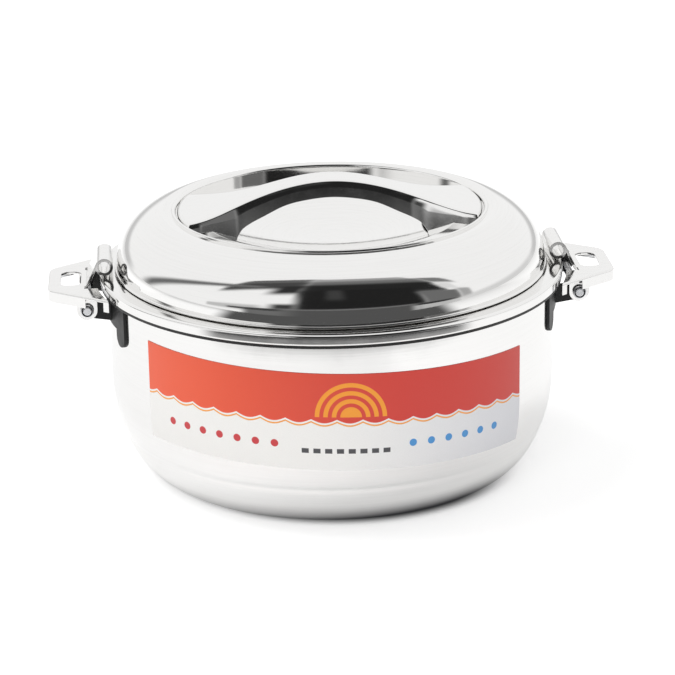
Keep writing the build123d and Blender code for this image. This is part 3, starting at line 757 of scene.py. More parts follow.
class NodeTool:
    """Geometry Nodes tree that is built once, run on a small mesh and baked."""

    label: str
    sockets: tuple
    made: bpy.types.NodeTree | None = None

    @classmethod
    def shape(cls, graph: Graph, given: bpy.types.NodeOutputs) -> Socket:
        """Add the nodes of the kind of tree and return their geometry."""
        raise NotImplementedError

    @classmethod
    def tree(cls) -> bpy.types.NodeTree:
        """Build the tree on first use.

        Returns:
            The tree, which ends in Realize Instances and Set Material.
        """
        if cls.made is None:
            cls.made = bpy.data.node_groups.new(cls.label, "GeometryNodeTree")
            for name, kind in (*cls.sockets, ("Finish", "Material")):
                cls.made.interface.new_socket(name, in_out="INPUT", socket_type=f"NodeSocket{kind}")
            cls.made.interface.new_socket("Mesh", in_out="OUTPUT", socket_type="NodeSocketGeometry")
            graph = Graph(cls.made)
            given = graph.node("NodeGroupInput").outputs
            real = graph.node("GeometryNodeRealizeInstances", {0: cls.shape(graph, given)}).outputs[0]
            dressed = graph.node("GeometryNodeSetMaterial", {"Geometry": real, "Material": given["Finish"]})
            graph.node("NodeGroupOutput", {0: dressed.outputs[0]})
        return cls.made

    @classmethod
    def run(cls, piece: bpy.types.Object, finish: Finish, crease: float,
            **values: object) -> bpy.types.Object:
        """Run the tree on an object.

        Args:
            piece: the object, whose mesh the tree starts from.
            finish: the finish it gets.
            crease: edges that turn more than this many degrees stay sharp.
            values: the tree's other inputs by name.

        Returns:
            The same object with a plain mesh.
        """
        modifier = piece.modifiers.new("nodes", "NODES")
        modifier.node_group = cls.tree()
        keys = {item.name: item.identifier for item in cls.tree().interface.items_tree
                if item.in_out == "INPUT"}
        for name, value in {**values, "Finish": finish.material()}.items():
            modifier[keys[name]] = value
        close_up(bake(piece).data, crease)
        return piece


class TurnedSheet(NodeTool):
    """Turns a section about the Z axis."""

    GUIDE = 0.5
    label = "turned_sheet"
    sockets = (("Section", "Geometry"), ("Segments", "Int"), ("Crease", "Float"))

    @classmethod
    def shape(cls, graph: Graph, given: bpy.types.NodeOutputs) -> Socket:
        """Sweep the section round a circle and crease its sharp edges.

        Args:
            graph: the tree's graph.
            given: the tree's inputs.

        Returns:
            The swept mesh.
        """
        section = graph.node("GeometryNodeMeshToCurve", {0: given["Section"]}).outputs[0]
        circle = graph.node("GeometryNodeCurvePrimitiveCircle",
                            {"Resolution": given["Segments"], "Radius": cls.GUIDE}).outputs[0]
        level = graph.node("GeometryNodeSetCurveNormal", {0: circle})
        level.mode = "Z_UP"
        swept = graph.node("GeometryNodeCurveToMesh", {"Curve": level.outputs[0],
                                                       "Profile Curve": section}).outputs[0]
        merged = graph.node("GeometryNodeMergeByDistance", {"Geometry": swept, "Distance": 1e-6}).outputs[0]
        smooth = graph.node("GeometryNodeSetShadeSmooth", {"Geometry": merged}).outputs[0]
        angle = graph.node("GeometryNodeInputMeshEdgeAngle").outputs[0]
        sharp = graph.node("FunctionNodeCompare", {0: angle, 1: graph.math("RADIANS", given["Crease"])},
                           data_type="FLOAT", operation="GREATER_THAN").outputs[0]
        return graph.node("GeometryNodeSetShadeSmooth",
                          {"Geometry": smooth, "Selection": sharp, "Shade Smooth": False},
                          domain="EDGE").outputs[0]

    @classmethod
    def turn(cls, name: str, section: Section, finish: Finish, segments: int = 256,
             crease: float = 32.0) -> bpy.types.Object:
        """Make a plain mesh object by turning a section.

        Args:
            name: name of the new object.
            section: the closed section.
            finish: the finish it gets.
            segments: steps round the axis.
            crease: edges that turn more than this many degrees stay sharp.

        Returns:
            The new object.
        """
        loop = [((r * MM) - cls.GUIDE, -z * MM, 0.0) for r, z in section.points]
        if math.dist(loop[0], loop[-1]) < 1e-7:
            loop.pop()
        count = len(loop)
        piece = new_piece(name, loop, [(k, (k + 1) % count) for k in range(count)], [])
        return cls.run(piece, finish, crease, Segments=segments, Crease=crease)


class PlacedItems(NodeTool):
    """Puts one item on each face of a small mesh, along the face's normal."""

    SPOT = 1e-5
    label = "placed_items"
    sockets = (("Points", "Geometry"), ("Item", "Object"))

    @classmethod
    def shape(cls, graph: Graph, given: bpy.types.NodeOutputs) -> Socket:
        """Instance the item on the points.

        Args:
            graph: the tree's graph.
            given: the tree's inputs.

        Returns:
            The instances.
        """
        item = graph.node("GeometryNodeObjectInfo", {"Object": given["Item"]}).outputs["Geometry"]
        side = graph.node("GeometryNodeInputNormal").outputs[0]
        lean = graph.node("FunctionNodeAlignRotationToVector", {"Vector": side}, axis="Z").outputs[0]
        return graph.node("GeometryNodeInstanceOnPoints", {"Points": given["Points"], "Instance": item,
                                                           "Rotation": lean}).outputs[0]

    @classmethod
    def place(cls, name: str, item: bpy.types.Object, spots: list, finish: Finish,
              crease: float = 32.0) -> bpy.types.Object:
        """Put a copy of an item at each spot, its Z axis along the spot's direction.

        Args:
            name: name of the new object.
            item: the item, which is used up.
            spots: pairs of a place in millimetres and a direction.
            finish: the finish the group gets.
            crease: edges that turn more than this many degrees stay sharp.

        Returns:
            The new plain mesh object.
        """
        points, faces = [], []
        for place, direction in spots:
            axis = Vector(direction).normalized()
            across = axis.orthogonal().normalized()
            third = axis.cross(across)
            centre = Vector(place) * MM
            faces.append(tuple(len(points) + k for k in range(3)))
            points += [centre + across * cls.SPOT, centre + third * cls.SPOT,
                       centre - across * cls.SPOT - third * cls.SPOT]
        piece = cls.run(new_piece(name, points, [], faces), finish, crease, Item=item)
        bpy.data.objects.remove(item)
        return piece


def turned(name: str, section: Section, finish: Finish, body: str, node: str, **detail: float) -> None:
    """Turn a section and hand it over in place of a node.

    Args:
        name: name of the new piece.
        section: its closed section.
        finish: its surface finish.
        body: name of the body it moves with.
        node: the node it replaces.
        detail: segments and crease where they differ from the usual ones.
    """
    hand_over(TurnedSheet.turn(name, section, finish, **detail), body, finish, node)


# ---- pot ------------------------------------------------------------------------
@dataclass
class Stopper:
    """Push-in plug whose round head hangs below a plate."""

    seat: float
    top: float
    head_r: float = 8.0
    hole_r: float = 6.0
    head: float = 1.2
    play: float = 0.1

    def build(self, name: str, body: str, node: str) -> None:
        """Turn the plug.

        Args:
            name: name of the new piece.
            body: name of the body it moves with.
            node: the node it replaces.
        """
        low, stem_r, top, bend = self.seat - self.head, self.hole_r - self.play, self.top, 0.7
        section = Section(guard=0.15).start(0, low + 0.3).to(2.4, low + 0.3).to(2.9, low)
        section.to(self.head_r - bend, low).arc((self.head_r - bend, low + bend), bend, -90, 0, 6)
        section.to(self.head_r, self.seat).to(stem_r, self.seat).to(stem_r, top - 0.6)
        section.to(stem_r - 0.6, top).to(0, top).to(0, low + 0.3)
        turned(name, section, WHITE_PLASTIC, body, node, segments=64)


@dataclass
class Pot:
    """Double-walled pot: shell, food bowl with rolled rim, black ring, base plate and plug."""

    sheet: float = 0.8
    wall_r: float = 101.0
    foot_r: float = 76.0
    foot_inner_r: float = 66.5
    curve_h: float = 46.0
    curve_steps: int = 72
    wall_top: float = 89.2
    groove_z: float = 21.0
    groove_depth: float = 0.55
    groove_half: float = 1.1
    groove_span: tuple = (0.30, 0.22, 60)
    bowl_r: float = 89.0
    floor_r: float = 60.0
    floor_z: float = 16.0
    bowl_curve_h: float = 28.0
    rim_r: float = 105.0
    rim_top: float = 94.0
    rim_lip: float = 89.4
    rim_bend: float = 1.3
    lip_bend: float = 0.4
    ledge_bend: float = 2.6
    ring_drop: float = 1.4
    ring_inset: float = 0.3
    ring_chamfer: float = 2.4
    play: float = 0.1
    base_z: float = 3.0
    base_ring: float = 0.9
    cover_r: float = 74.0
    dish_r: float = 61.0
    plug: Stopper = field(default_factory=lambda: Stopper(seat=3.0, top=8.0))

    def build(self) -> None:
        """Make and dress every piece of the pot."""
        self.shell()
        self.bowl()
        self.ring()
        self.base()

    def groove(self, height: float) -> float:
        """Return how far the groove pulls the wall in at a height."""
        return self.groove_depth * math.exp(-((height - self.groove_z) / self.groove_half) ** 2)

    def wall_curve(self, inset: float) -> list:
        """Draw the rounded lower wall, with finer steps at the groove.

        Args:
            inset: distance inside the outer surface.

        Returns:
            Points from the foot up to the wall.
        """
        first, span, fine = self.groove_span
        steps = {k / self.curve_steps for k in range(self.curve_steps + 1)}
        steps |= {first + span * k / fine for k in range(fine + 1)}
        points = []
        for step in sorted(steps):
            angle = math.radians(-90 + 90 * step)
            radius = self.foot_r + (self.wall_r - self.foot_r - inset) * math.cos(angle)
            height = self.curve_h + (self.curve_h - inset) * math.sin(angle)
            points.append((radius - self.groove(height), height))
        return points

    def shell(self) -> None:
        """Make the outer shell with its standing ring and groove."""
        section = Section().start(self.foot_inner_r, 0).to(self.foot_r, 0)
        section.points += self.wall_curve(0)[1:]
        section.to(self.wall_r, self.wall_top, 6).to(self.wall_r - self.sheet, self.wall_top)
        section.to(self.wall_r - self.sheet, self.curve_h, 2)
        section.points += self.wall_curve(self.sheet)[-2::-1]
        section.to(self.foot_inner_r, self.sheet).to(self.foot_inner_r, 0)
        turned("pot_shell", section, POLISHED_POT, "pot", "outer_shell")

    def bowl(self) -> None:
        """Make the food bowl and its rolled rim."""
        bend, sheet, top, lip, ledge = self.rim_bend, self.sheet, self.rim_top, self.lip_bend, self.ledge_bend
        across, tall = self.bowl_r - self.floor_r, self.bowl_curve_h
        floor, roll = (self.floor_r, self.floor_z + tall), (self.rim_r - bend, top - bend)
        inner = (self.bowl_r + ledge, top - ledge)
        section = Section().start(0, self.floor_z).to(self.floor_r, self.floor_z, 8)
        section.arc(floor, (across, tall), 270, 360, 40).to(self.bowl_r, top - ledge, 3)
        section.arc(inner, ledge, 180, 90, 8).to(self.rim_r - bend, top)
        section.arc(roll, bend, 90, 0, 10).to(self.rim_r, self.rim_lip + lip)
        section.arc((self.rim_r - lip, self.rim_lip + lip), lip, 0, -90, 5)
        section.to(self.rim_r - sheet, self.rim_lip).to(self.rim_r - sheet, top - bend)
        section.arc(roll, bend - sheet, 0, 90, 6).to(self.bowl_r + ledge, top - sheet)
        section.arc(inner, ledge - sheet, 90, 180, 5).to(self.bowl_r + sheet, floor[1], 2)
        section.arc(floor, (across + sheet, tall + sheet), 360, 270, 30).to(0, self.floor_z - sheet, 3)
        turned("food_bowl", section, POLISHED_BOWL, "pot", "inner_bowl")

    def ring(self) -> None:
        """Make the black ring under the rolled rim."""
        low, high, lip = self.rim_lip - self.ring_drop, self.rim_top - self.sheet - self.play, self.lip_bend
        wall, outer = self.wall_r + 0.05, self.rim_r - self.ring_inset
        inside = self.rim_r - self.sheet - self.play
        section = Section().start(wall, low).to(outer - lip, low)
        section.arc((outer - lip, low + lip), lip, -90, 0, 5)
        section.to(outer, self.rim_lip - 0.05).to(inside, self.rim_lip - 0.05)
        section.to(inside, self.rim_top - self.ring_chamfer).to(self.rim_r - self.ring_chamfer, high)
        section.to(wall, high).to(wall, low)
        turned("black_ring", section, BLACK_PLASTIC, "pot", "rim_ring")

    def base(self) -> None:
        """Make the dished base plate, its pressed rings and the plug in its hole."""
        sheet, low = self.sheet, self.base_z
        raised = low + self.base_ring
        lower = [(self.plug.hole_r, low), (24.0, low), (26.0, raised), (30.0, raised), (32.0, low),
                 (self.dish_r, low), (self.foot_inner_r - 2, sheet), (self.cover_r, sheet)]
        section = Section().start(*lower[0])
        for radius, height in lower[1:]:
            section.to(radius, height, 2)
        section.to(self.cover_r, 2 * sheet).to(self.foot_inner_r - 1.6, 2 * sheet)
        for radius, height in reversed(lower[:6]):
            section.to(radius, height + sheet, 2)
        section.to(*lower[0])
        turned("base_plate", section, SATIN_STEEL, "pot", "base_cover", crease=50)
        self.plug.build("base_stopper", "pot", "base_plug")


@dataclass
class FrontLabel:
    """Printed film that follows the wall of the pot, stuck on a little askew."""

    pot: Pot = field(default_factory=Pot)
    lift: float = 0.03
    thick: float = 0.25
    low: float = 34.0
    high: float = 78.0
    half_angle: float = 53.0
    middle: float = -93.1
    drop: float = 2.3
    tilt: float = 3.0
    columns: int = 180
    rows: int = 26

    def spot(self, across: float, up: float, offset: float) -> Point3:
        """Place a point of the film.

        Args:
            across: share of the width, from 0 to 1.
            up: share of the height.
            offset: distance off the wall in millimetres.

        Returns:
            The point in metres.
        """
        wall_r, foot_r, curve_h = self.pot.wall_r, self.pot.foot_r, self.pot.curve_h
        height = self.low + (self.high - self.low) * up - self.drop - self.tilt * (2 * across - 1)
        radius = wall_r + offset
        if height < curve_h:
            drop = (curve_h - height) / (curve_h + offset)
            radius = foot_r + (wall_r - foot_r + offset) * math.sqrt(1 - drop * drop)
        angle = math.radians(self.middle + self.half_angle * (2 * across - 1))
        return (radius * math.cos(angle) * MM, radius * math.sin(angle) * MM, height * MM)

    def build(self) -> None:
        """Make the film with its front, back and edges, and print it."""
        shares = [(column / self.columns, row / self.rows)
                  for row in range(self.rows + 1) for column in range(self.columns + 1)]
        points = [self.spot(*share, offset) for offset in (self.lift + self.thick, self.lift)
                  for share in shares]
        front, border = grid(self.columns + 1, self.rows + 1)
        back, faces = len(shares), []
        for face in front:
            faces += [face, tuple(back + face[k] for k in (0, 3, 2, 1))]
        faces += [(a, back + a, back + b, b) for a, b in zip(border, border[1:] + border[:1])]
        piece = new_piece("label_film", points, [], faces)
        layer = piece.data.uv_layers.new(name="Print")
        for loop in piece.data.loops:
            layer.data[loop.index].uv = shares[loop.vertex_index % back]
        close_up(piece.data, 40)
        hand_over(piece, "pot", LABEL_PRINT, "front_label")


# ---- lid ------------------------------------------------------------------------
@dataclass
class Lid:
    """Lift-off lid: dome with a bead, dished recess, liner, silicone seal and plug."""

    sheet: float = 0.8
    lid_r: float = 97.2
    bead_r: float = 98.0
    bottom: float = 94.4
    bead_h: float = 1.2
    bead_round: float = 0.5
    lip_round: float = 1.4
    lip_step: float = 1.0
    lip_step_r: float = 71.4
    lip_edge: float = 0.35
    spring_z: float = 96.2
    top: float = 120.8
    dome_end: float = 0.22
    recess_r: float = 69.5
    ledge_z: float = 116.5
    ledge_r: float = 58.0
    cup_low: float = 104.0
    cup_edge_r: float = 72.5
    cup_steps: int = 40
    liner_r: float = 87.6
    liner_bottom: float = 83.2
    flange_z: float = 94.6
    corner: float = 4.0
    seal_lip_r: float = 88.5
    seal_low: float = 87.5
    seal_edge_r: float = 95.4
    seal_ribs: tuple = (1.9, 3.6)
    rim_top: float = 94.0
    plug: Stopper = field(default_factory=lambda: Stopper(seat=83.2, top=88.2))

    def build(self) -> None:
        """Make and dress every piece of the lid but its handle."""
        self.dome()
        self.recess()
        self.liner()
        self.seal()

    def dome(self) -> None:
        """Make the dome from its bead to the raised, folded edge of the recess."""
        sheet, lip, small, fold = self.sheet, self.recess_r + self.sheet, self.bead_round, self.lip_round
        across, rise, bead_top = self.lid_r - lip, self.top - self.spring_z, self.bottom + self.bead_h
        edge, step_r, valley = self.lip_edge, self.lip_step_r, self.top - self.lip_step
        spring, turn = (lip, self.spring_z), math.degrees(math.acos(self.dome_end))
        section = Section().start(self.lid_r, bead_top).to(self.lid_r, self.spring_z)
        section.arc(spring, (across, rise), 0, turn, 90)
        far, high = section.points[-1]
        for share in (k / 8 for k in range(1, 9)):
            ease = share * share * (3 - 2 * share)
            section.to(far + (step_r + 0.15 - far) * share, high + (valley - high) * ease)
        section.to(step_r, valley + 0.1).to(step_r, self.top - edge)
        section.arc((step_r - edge, self.top - edge), edge, 0, 90, 6)
        section.arc((self.recess_r + fold, self.top - fold), fold, 90, 180, 12)
        section.to(self.recess_r, self.ledge_z).to(lip, self.ledge_z).to(lip, self.top - sheet - 0.3)
        section.to(step_r - 0.6, valley - 0.5).to(step_r + 1.2, valley - 0.5)
        section.arc(spring, (across - sheet, rise - sheet), turn, 0, 40)
        section.to(self.lid_r - sheet, self.bottom).to(self.bead_r - small, self.bottom)
        section.arc((self.bead_r - small, self.bottom + small), small, -90, 0, 5)
        section.to(self.bead_r, bead_top - small)
        section.arc((self.bead_r - small, bead_top - small), small, 0, 90, 5).to(self.lid_r, bead_top)
        turned("lid_dome", section, POLISHED_LID, "lid", "lid_shell")

    def cup_height(self, radius: float) -> float:
        """Find the height of the dished recess floor.

        Args:
            radius: distance from the axis.

        Returns:
            The height.
        """
        rise = self.ledge_z - self.cup_low
        ball = (self.ledge_r ** 2 + rise ** 2) / (2 * rise)
        return self.cup_low + ball - math.sqrt(ball ** 2 - radius ** 2)

    def recess(self) -> None:
        """Make the dished cup that closes the recess."""
        dish = [self.ledge_r * k / self.cup_steps for k in range(self.cup_steps + 1)]
        under = self.ledge_z - self.sheet
        section = Section().start(0, self.cup_low)
        section.points += [(r, self.cup_height(r)) for r in dish[1:]]
        section.to(self.cup_edge_r, self.ledge_z).to(self.cup_edge_r, under).to(self.ledge_r, under)
        section.points += [(r, self.cup_height(r) - self.sheet) for r in reversed(dish[:-1])]
        turned("recess_cup", section, POLISHED_LID, "lid", "lid_recess_cup")

    def liner(self) -> None:
        """Make the inner pan of the lid and the plug in its hole."""
        sheet, corner, low, hole_r = self.sheet, self.corner, self.liner_bottom, self.plug.hole_r
        rim, inner, above = self.lid_r - sheet - 0.1, self.liner_r - corner, self.flange_z + sheet
        section = Section().start(hole_r, low).to(44, low, 2).to(45.5, low + 0.5).to(48.5, low + 0.5)
        section.to(50, low).to(inner, low, 2).arc((inner, low + corner), corner, -90, 0, 10)
        section.to(self.liner_r, self.flange_z).to(rim, self.flange_z).to(rim, above)
        section.to(self.liner_r - sheet, above).to(self.liner_r - sheet, low + corner)
        section.arc((inner, low + corner), corner - sheet, 0, -90, 6)
        section.to(hole_r, low + sheet, 2).to(hole_r, low)
        turned("lid_pan", section, SATIN_STEEL, "lid", "lid_liner")
        self.plug.build("lid_stopper", "lid", "lid_plug")

    def seal(self) -> None:
        """Make the silicone ring with two soft ribs round its lip."""
        inner, low, flat, lip = self.liner_r + 0.02, self.seal_low, self.rim_top + 0.1, self.seal_lip_r
        section = Section(guard=0.15).start(inner, low).to(lip - 0.5, low).to(lip - 0.05, low + 1.0)
        for rib in self.seal_ribs:
            section.arc((lip - 0.35, low + rib), (0.35, 0.6), -70, 70, 8)
        section.to(lip - 0.1, flat - 1.5).to(lip + 1.3, flat)
        section.to(self.seal_edge_r, flat).to(self.seal_edge_r, self.flange_z - 0.02)
        section.to(inner, self.flange_z - 0.02).to(inner, low)
        turned("silicone_ring", section, SEAL_RUBBER, "lid", "lid_seal")


@dataclass
class BridgeHandle:
    """Arched strap over the recess, wider at its feet, its sides turned down as flanges."""

    radius: float = 68.8
    half_length: float = 69.0
    top: float = 134.3
    rim_z: float = 121.0
    waist_half: float = 7.8
    end_half: float = 25.0
    lean: float = 16.0
    bend: float = 2.0
    sheet: float = 1.2
    edge: float = 0.25
    arch: tuple = ((0.0, 127.0), (10.0, 126.2), (20.0, 124.1), (30.0, 119.9), (40.0, 115.4), (43.0, 112.0))
    foot_gap: float = 0.1
    along: int = 200
    across: int = 20
    bend_steps: int = 8
    flange_steps: tuple = (0.04, 0.3, 0.6, 0.9, 0.97, 1.0)
    crease: float = 50.0
    screw_x: float = 60.5
    screw_y: float = 16.0
    seat: float = 118.1
    lid: Lid = field(default_factory=Lid)

    @property
    def full_turn(self) -> float:
        """Return the angle in radians that the bend turns down to the flange."""
        return math.radians(90 - self.lean)

    def fall(self, x: float) -> float:
        """Return how far the strap has come down at a place along it, from 0 to 1."""
        return (1 - math.cos(math.pi * min(abs(x) / self.half_length, 1.0))) / 2

    def half_width(self, x: float) -> float:
        """Return half the width of the strap's top, up to where its rounded edges end."""
        ease = self.bend * (1 - 1 / math.tan(math.radians(45 + self.lean / 2)))
        return self.waist_half + (self.end_half - self.waist_half) * self.fall(x) ** 3 + ease

    def crown(self, x: float) -> float:
        """Return the height of the strap's top at a place along it."""
        return self.top - (self.top - self.rim_z) * self.fall(x)

    def plan(self, u: float, v: float, shift: float, end_shift: float) -> Point:
        """Map a square to the band's plan.

        Args:
            u: place along the band, from -1 to 1.
            v: place across it, from -1 to 1.
            shift: distance the long sides are moved out.
            end_shift: distance the ends are moved out.

        Returns:
            The place in plan.
        """
        reach = self.radius + end_shift
        x = u * reach
        for _ in range(8):
            y = v * (self.half_width(x) + shift)
            x = u * math.sqrt(reach * reach - y * y)
        return (x, v * (self.half_width(x) + shift))

    def foot(self, x: float, y: float) -> float:
        """Find the lower edge of the flange: a smooth curve through the arch, then the recess floor.

        Args:
            x: place along the band.
            y: place across it.

        Returns:
            The height of the edge.
        """
        rest, side = self.lid.ledge_z, abs(x)
        if math.hypot(x, y) < self.lid.ledge_r:
            rest = self.lid.cup_height(math.hypot(x, y))
        rest += self.foot_gap
        if side >= self.arch[-1][0]:
            return rest
        knots = [(-self.arch[1][0], self.arch[1][1]), *self.arch]
        knots.append((2 * knots[-1][0] - knots[-2][0], 2 * knots[-1][1] - knots[-2][1]))
        k = max(n for n in range(1, len(knots) - 2) if knots[n][0] <= side)
        (x0, z0), (x1, z1), (x2, z2), (x3, z3) = knots[k - 1:k + 3]
        t, run = (side - x1) / (x2 - x1), x2 - x1
        start, end = run * (z2 - z0) / (x2 - x0), run * (z3 - z1) / (x3 - x1)
        curve = z1 * (2 * t ** 3 - 3 * t ** 2 + 1) + z2 * (3 * t ** 2 - 2 * t ** 3)
        curve += start * (t ** 3 - 2 * t ** 2 + t) + end * (t ** 3 - t ** 2)
        return max(rest, curve)

    def bend_spot(self, u: float, v: float, angle: float) -> Point3:
        """Place a point on the rounded edge.

        Args:
            u: place along the band, from -1 to 1.
            v: place across it.
            angle: how far the edge has turned down, in radians.

        Returns:
            The point.
        """
        inset = self.bend * (1 - math.sin(angle))
        x, y = self.plan(u, v, -inset, -inset)
        return (x, y, self.crown(x) - self.bend * (1 - math.cos(angle)))

    def flange_spot(self, u: float, v: float, share: float) -> Point3:
        """Place a point on the flange, whose long sides lean out with depth.

        Args:
            u: place along the band, from -1 to 1.
            v: place across it.
            share: how far down the flange, from 0 to 1.

        Returns:
            The point.
        """
        x, y = self.plan(u, v, 0, 0)
        high = self.crown(x) - self.bend * (1 - math.cos(self.full_turn))
        z = high + (self.foot(x, y) - high) * share
        return (*self.plan(u, v, math.tan(math.radians(self.lean)) * max(0.0, high - z), 0), z)

    def band(self) -> bpy.types.Object:
        """Make the outer surface of the band and thicken it inwards.

        Returns:
            The band as a plain mesh object.
        """
        squares = [(-1 + 2 * k / self.along, -1 + 2 * n / self.across)
                   for n in range(self.across + 1) for k in range(self.along + 1)]
        faces, ring = grid(self.along + 1, self.across + 1)
        border = [squares[k] for k in ring]
        points = [self.bend_spot(u, v, 0.0) for u, v in squares]
        skirts = [[self.bend_spot(u, v, self.full_turn * step / self.bend_steps) for u, v in border]
                  for step in range(1, self.bend_steps + 1)]
        skirts += [[self.flange_spot(u, v, share) for u, v in border] for share in self.flange_steps]
        for skirt in skirts:
            lower = list(range(len(points), len(points) + len(skirt)))
            pairs = zip(ring, ring[1:] + ring[:1], lower, lower[1:] + lower[:1])
            faces += [(a, c, d, b) for a, b, c, d in pairs]
            points += skirt
            ring = lower
        piece = new_piece("bridge_band", [(x * MM, y * MM, z * MM) for x, y, z in points], [], faces)
        close_up(piece.data, self.crease)
        thick = piece.modifiers.new("sheet", "SOLIDIFY")
        thick.thickness = self.sheet * MM
        thick.offset = -1.0
        thick.use_even_offset = True
        add_bevel(piece, self.edge, 2, self.crease)
        close_up(bake(piece).data, self.crease)
        return piece

    def spots(self, height: float) -> list:
        """Return the four screw places at a height, pointing up."""
        return [((sx * self.screw_x, sy * self.screw_y, height), (0, 0, 1)) for sx in BOTH for sy in BOTH]

    def screw(self) -> bpy.types.Object:
        """Turn one pan-head screw, its head standing on the origin.

        Returns:
            The screw.
        """
        head_r, head_h, stem_r, length, turns, bend, slot = 3.2, 1.5, 2.0, 11.0, 14, 1.2, 0.7
        section = Section(guard=0.1).start(0, head_h - slot).to(1.1, head_h - slot).to(1.1, head_h)
        section.to(head_r - bend, head_h).arc((head_r - bend, head_h - bend), bend, 90, 0, 6)
        section.to(head_r, 0).to(stem_r, 0)
        for k in range(turns):
            low = -length * (k + 1) / turns
            section.to(stem_r - 0.22, low + 0.5 * length / turns).to(stem_r, low)
        section.to(0, -length).to(0, head_h - slot)
        return TurnedSheet.turn("screw_item", section, BRIGHT_ZINC, 32)

    def washer(self) -> bpy.types.Object:
        """Turn one washer whose upper face is at the origin.

        Returns:
            The washer.
        """
        outer, hole, thick, chamfer = 4.0, 2.1, 0.8, 0.15
        section = Section(guard=0.1).start(hole, 0).to(outer - chamfer, 0).to(outer, -chamfer)
        section.to(outer, -thick).to(hole, -thick).to(hole, 0)
        return TurnedSheet.turn("washer_item", section, BRIGHT_ZINC, 32)

    def nut(self) -> bpy.types.Object:
        """Turn one hexagon nut whose upper face is at the origin.

        Returns:
            The nut.
        """
        corner, height, hole = 3.5 / math.cos(math.pi / 6), 3.0, 2.0
        section = Section(guard=0.1).start(hole, 0).to(corner, 0).to(corner, -height).to(hole, -height)
        return TurnedSheet.turn("nut_item", section.to(hole, 0), BRIGHT_ZINC, 6, 20)

    def build(self) -> None:
        """Make the band, dress the foot angles and set the fasteners."""
        hand_over(self.band(), "lid", POLISHED_BAND, "lid_handle")
        for side in Side:
            piece = softened_copy(f"{side.word}_foot_bracket", f"{side.word}_foot_angle", 0.2)
            hand_over(piece, "lid", SATIN_STEEL, f"{side.word}_foot_bracket")
        under = self.lid.ledge_z - self.lid.sheet
        for kind, item, height in (("screws", self.screw(), self.seat), ("washers", self.washer(), under),
                                   ("nuts", self.nut(), under - 0.8)):
            piece = PlacedItems.place(f"foot_{kind}", item, self.spots(height), BRIGHT_ZINC)
            hand_over(piece, "lid", BRIGHT_ZINC, f"handle_{kind}")


# ---- side handles ---------------------------------------------------------------
class Side(Enum):
    """The two sides of the pot, with the sign of X."""

    LEFT = -1
    RIGHT = 1

    @property
    def word(self) -> str:
        """Return the side's name in lower case."""
        return self.name.lower()


@dataclass
class ClampHandle:
    """Swinging clamp handle with its bracket and hinge pin on one side."""

    side: Side
    edge_r: float = 0.3
    pin_r: float = 2.0
    pin_half: float = 24.6
    pin_round: float = 0.4

    def build(self) -> None:
        """Dress the handle, its bracket and its pin."""
        word = self.side.word
        for node, name, body, finish in (("handle", "clamp_pressing", f"{word}_clamp", BUFFED_CLAMP),
                                         ("bracket", "wall_bracket", "pot", BLACK_BRACKET)):
            piece = softened_copy(f"{word}_{node}", f"{word}_{name}", self.edge_r)
            hand_over(piece, body, finish, f"{word}_{node}")
        hand_over(self.pin(), "pot", BRIGHT_ZINC, f"{word}_hinge_pin")

    def pin(self) -> bpy.types.Object:
        """Turn the hinge pin with rounded ends and lay it along Y.

        Returns:
            The pin.
        """
        half, end, flat = self.pin_half, self.pin_round, self.pin_r - self.pin_round
        section = Section(guard=0.1).start(0, -half).to(flat, -half)
        section.arc((flat, -half + end), end, -90, 0, 4).to(self.pin_r, half - end, 4)
        section.arc((flat, half - end), end, 0, 90, 4).to(0, half).to(0, -half)
        piece = TurnedSheet.turn(f"{self.side.word}_pin", section, BRIGHT_ZINC, 48)
        place = Matrix.Translation((self.side.value * PIVOT_X * MM, 0, PIVOT_Z * MM))
        piece.data.transform(place @ Matrix.Rotation(math.pi / 2, 4, "X"))
        return piece


@dataclass
class PinCaps:
    """Push-on caps on the ends of both hinge pins."""

    cap_r: float = 3.0
    pin_r: float = 2.0
    thick: float = 1.3
    bend: float = 0.5
    face: float = 23.3

    def build(self) -> None:
        """Set a domed cap on each of the four pin ends."""
        flat, shoulder = self.cap_r - self.bend, self.thick - self.bend
        section = Section(guard=0.1).start(self.pin_r, 0).to(self.cap_r, 0).to(self.cap_r, shoulder)
        section.arc((flat, shoulder), self.bend, 0, 90, 5).to(self.pin_r, self.thick).to(self.pin_r, 0)
        item = TurnedSheet.turn("cap_item", section, BRIGHT_ZINC, 40)
        spots = [((sx * PIVOT_X, sy * self.face, PIVOT_Z), (0, sy, 0)) for sx in BOTH for sy in BOTH]
        piece = PlacedItems.place("pin_caps", item, spots, BRIGHT_ZINC)
        hand_over(piece, "pot", BRIGHT_ZINC, "hinge_pin_caps")


@dataclass
class Insulation:
    """The two foam bodies, which keep their own meshes."""

    nodes: tuple = ("body_foam", "lid_foam")

    def build(self) -> None:
        """Give both foam bodies their finish."""
        for node in self.nodes:
            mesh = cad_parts[node].data
            mesh.materials.clear()
            mesh.materials.append(INSULATION.material())
            log.info("%s: dressed as foam", node)


# ---- studio ---------------------------------------------------------------------
@dataclass(frozen=True)
class Panel:
    """Dark or grey panel on a wall of the studio that only polished metal shows.

    Places are tangents seen from the pot: 1 across or up is as far as the wall is away.
    A wall faces the front at 0 degrees and stands at +X at 90. With a slant, the panel
    lies along a bent line that starts at a height.
    """

    left: float
    right: float
    low: float
    high: float
    level: float
    side_soft: float = 0.12
    edge_soft: float = 0.06
    facing: float = 0.0
    start: float = 0.0
    slant: float = 0.0
    bow: float = 0.0


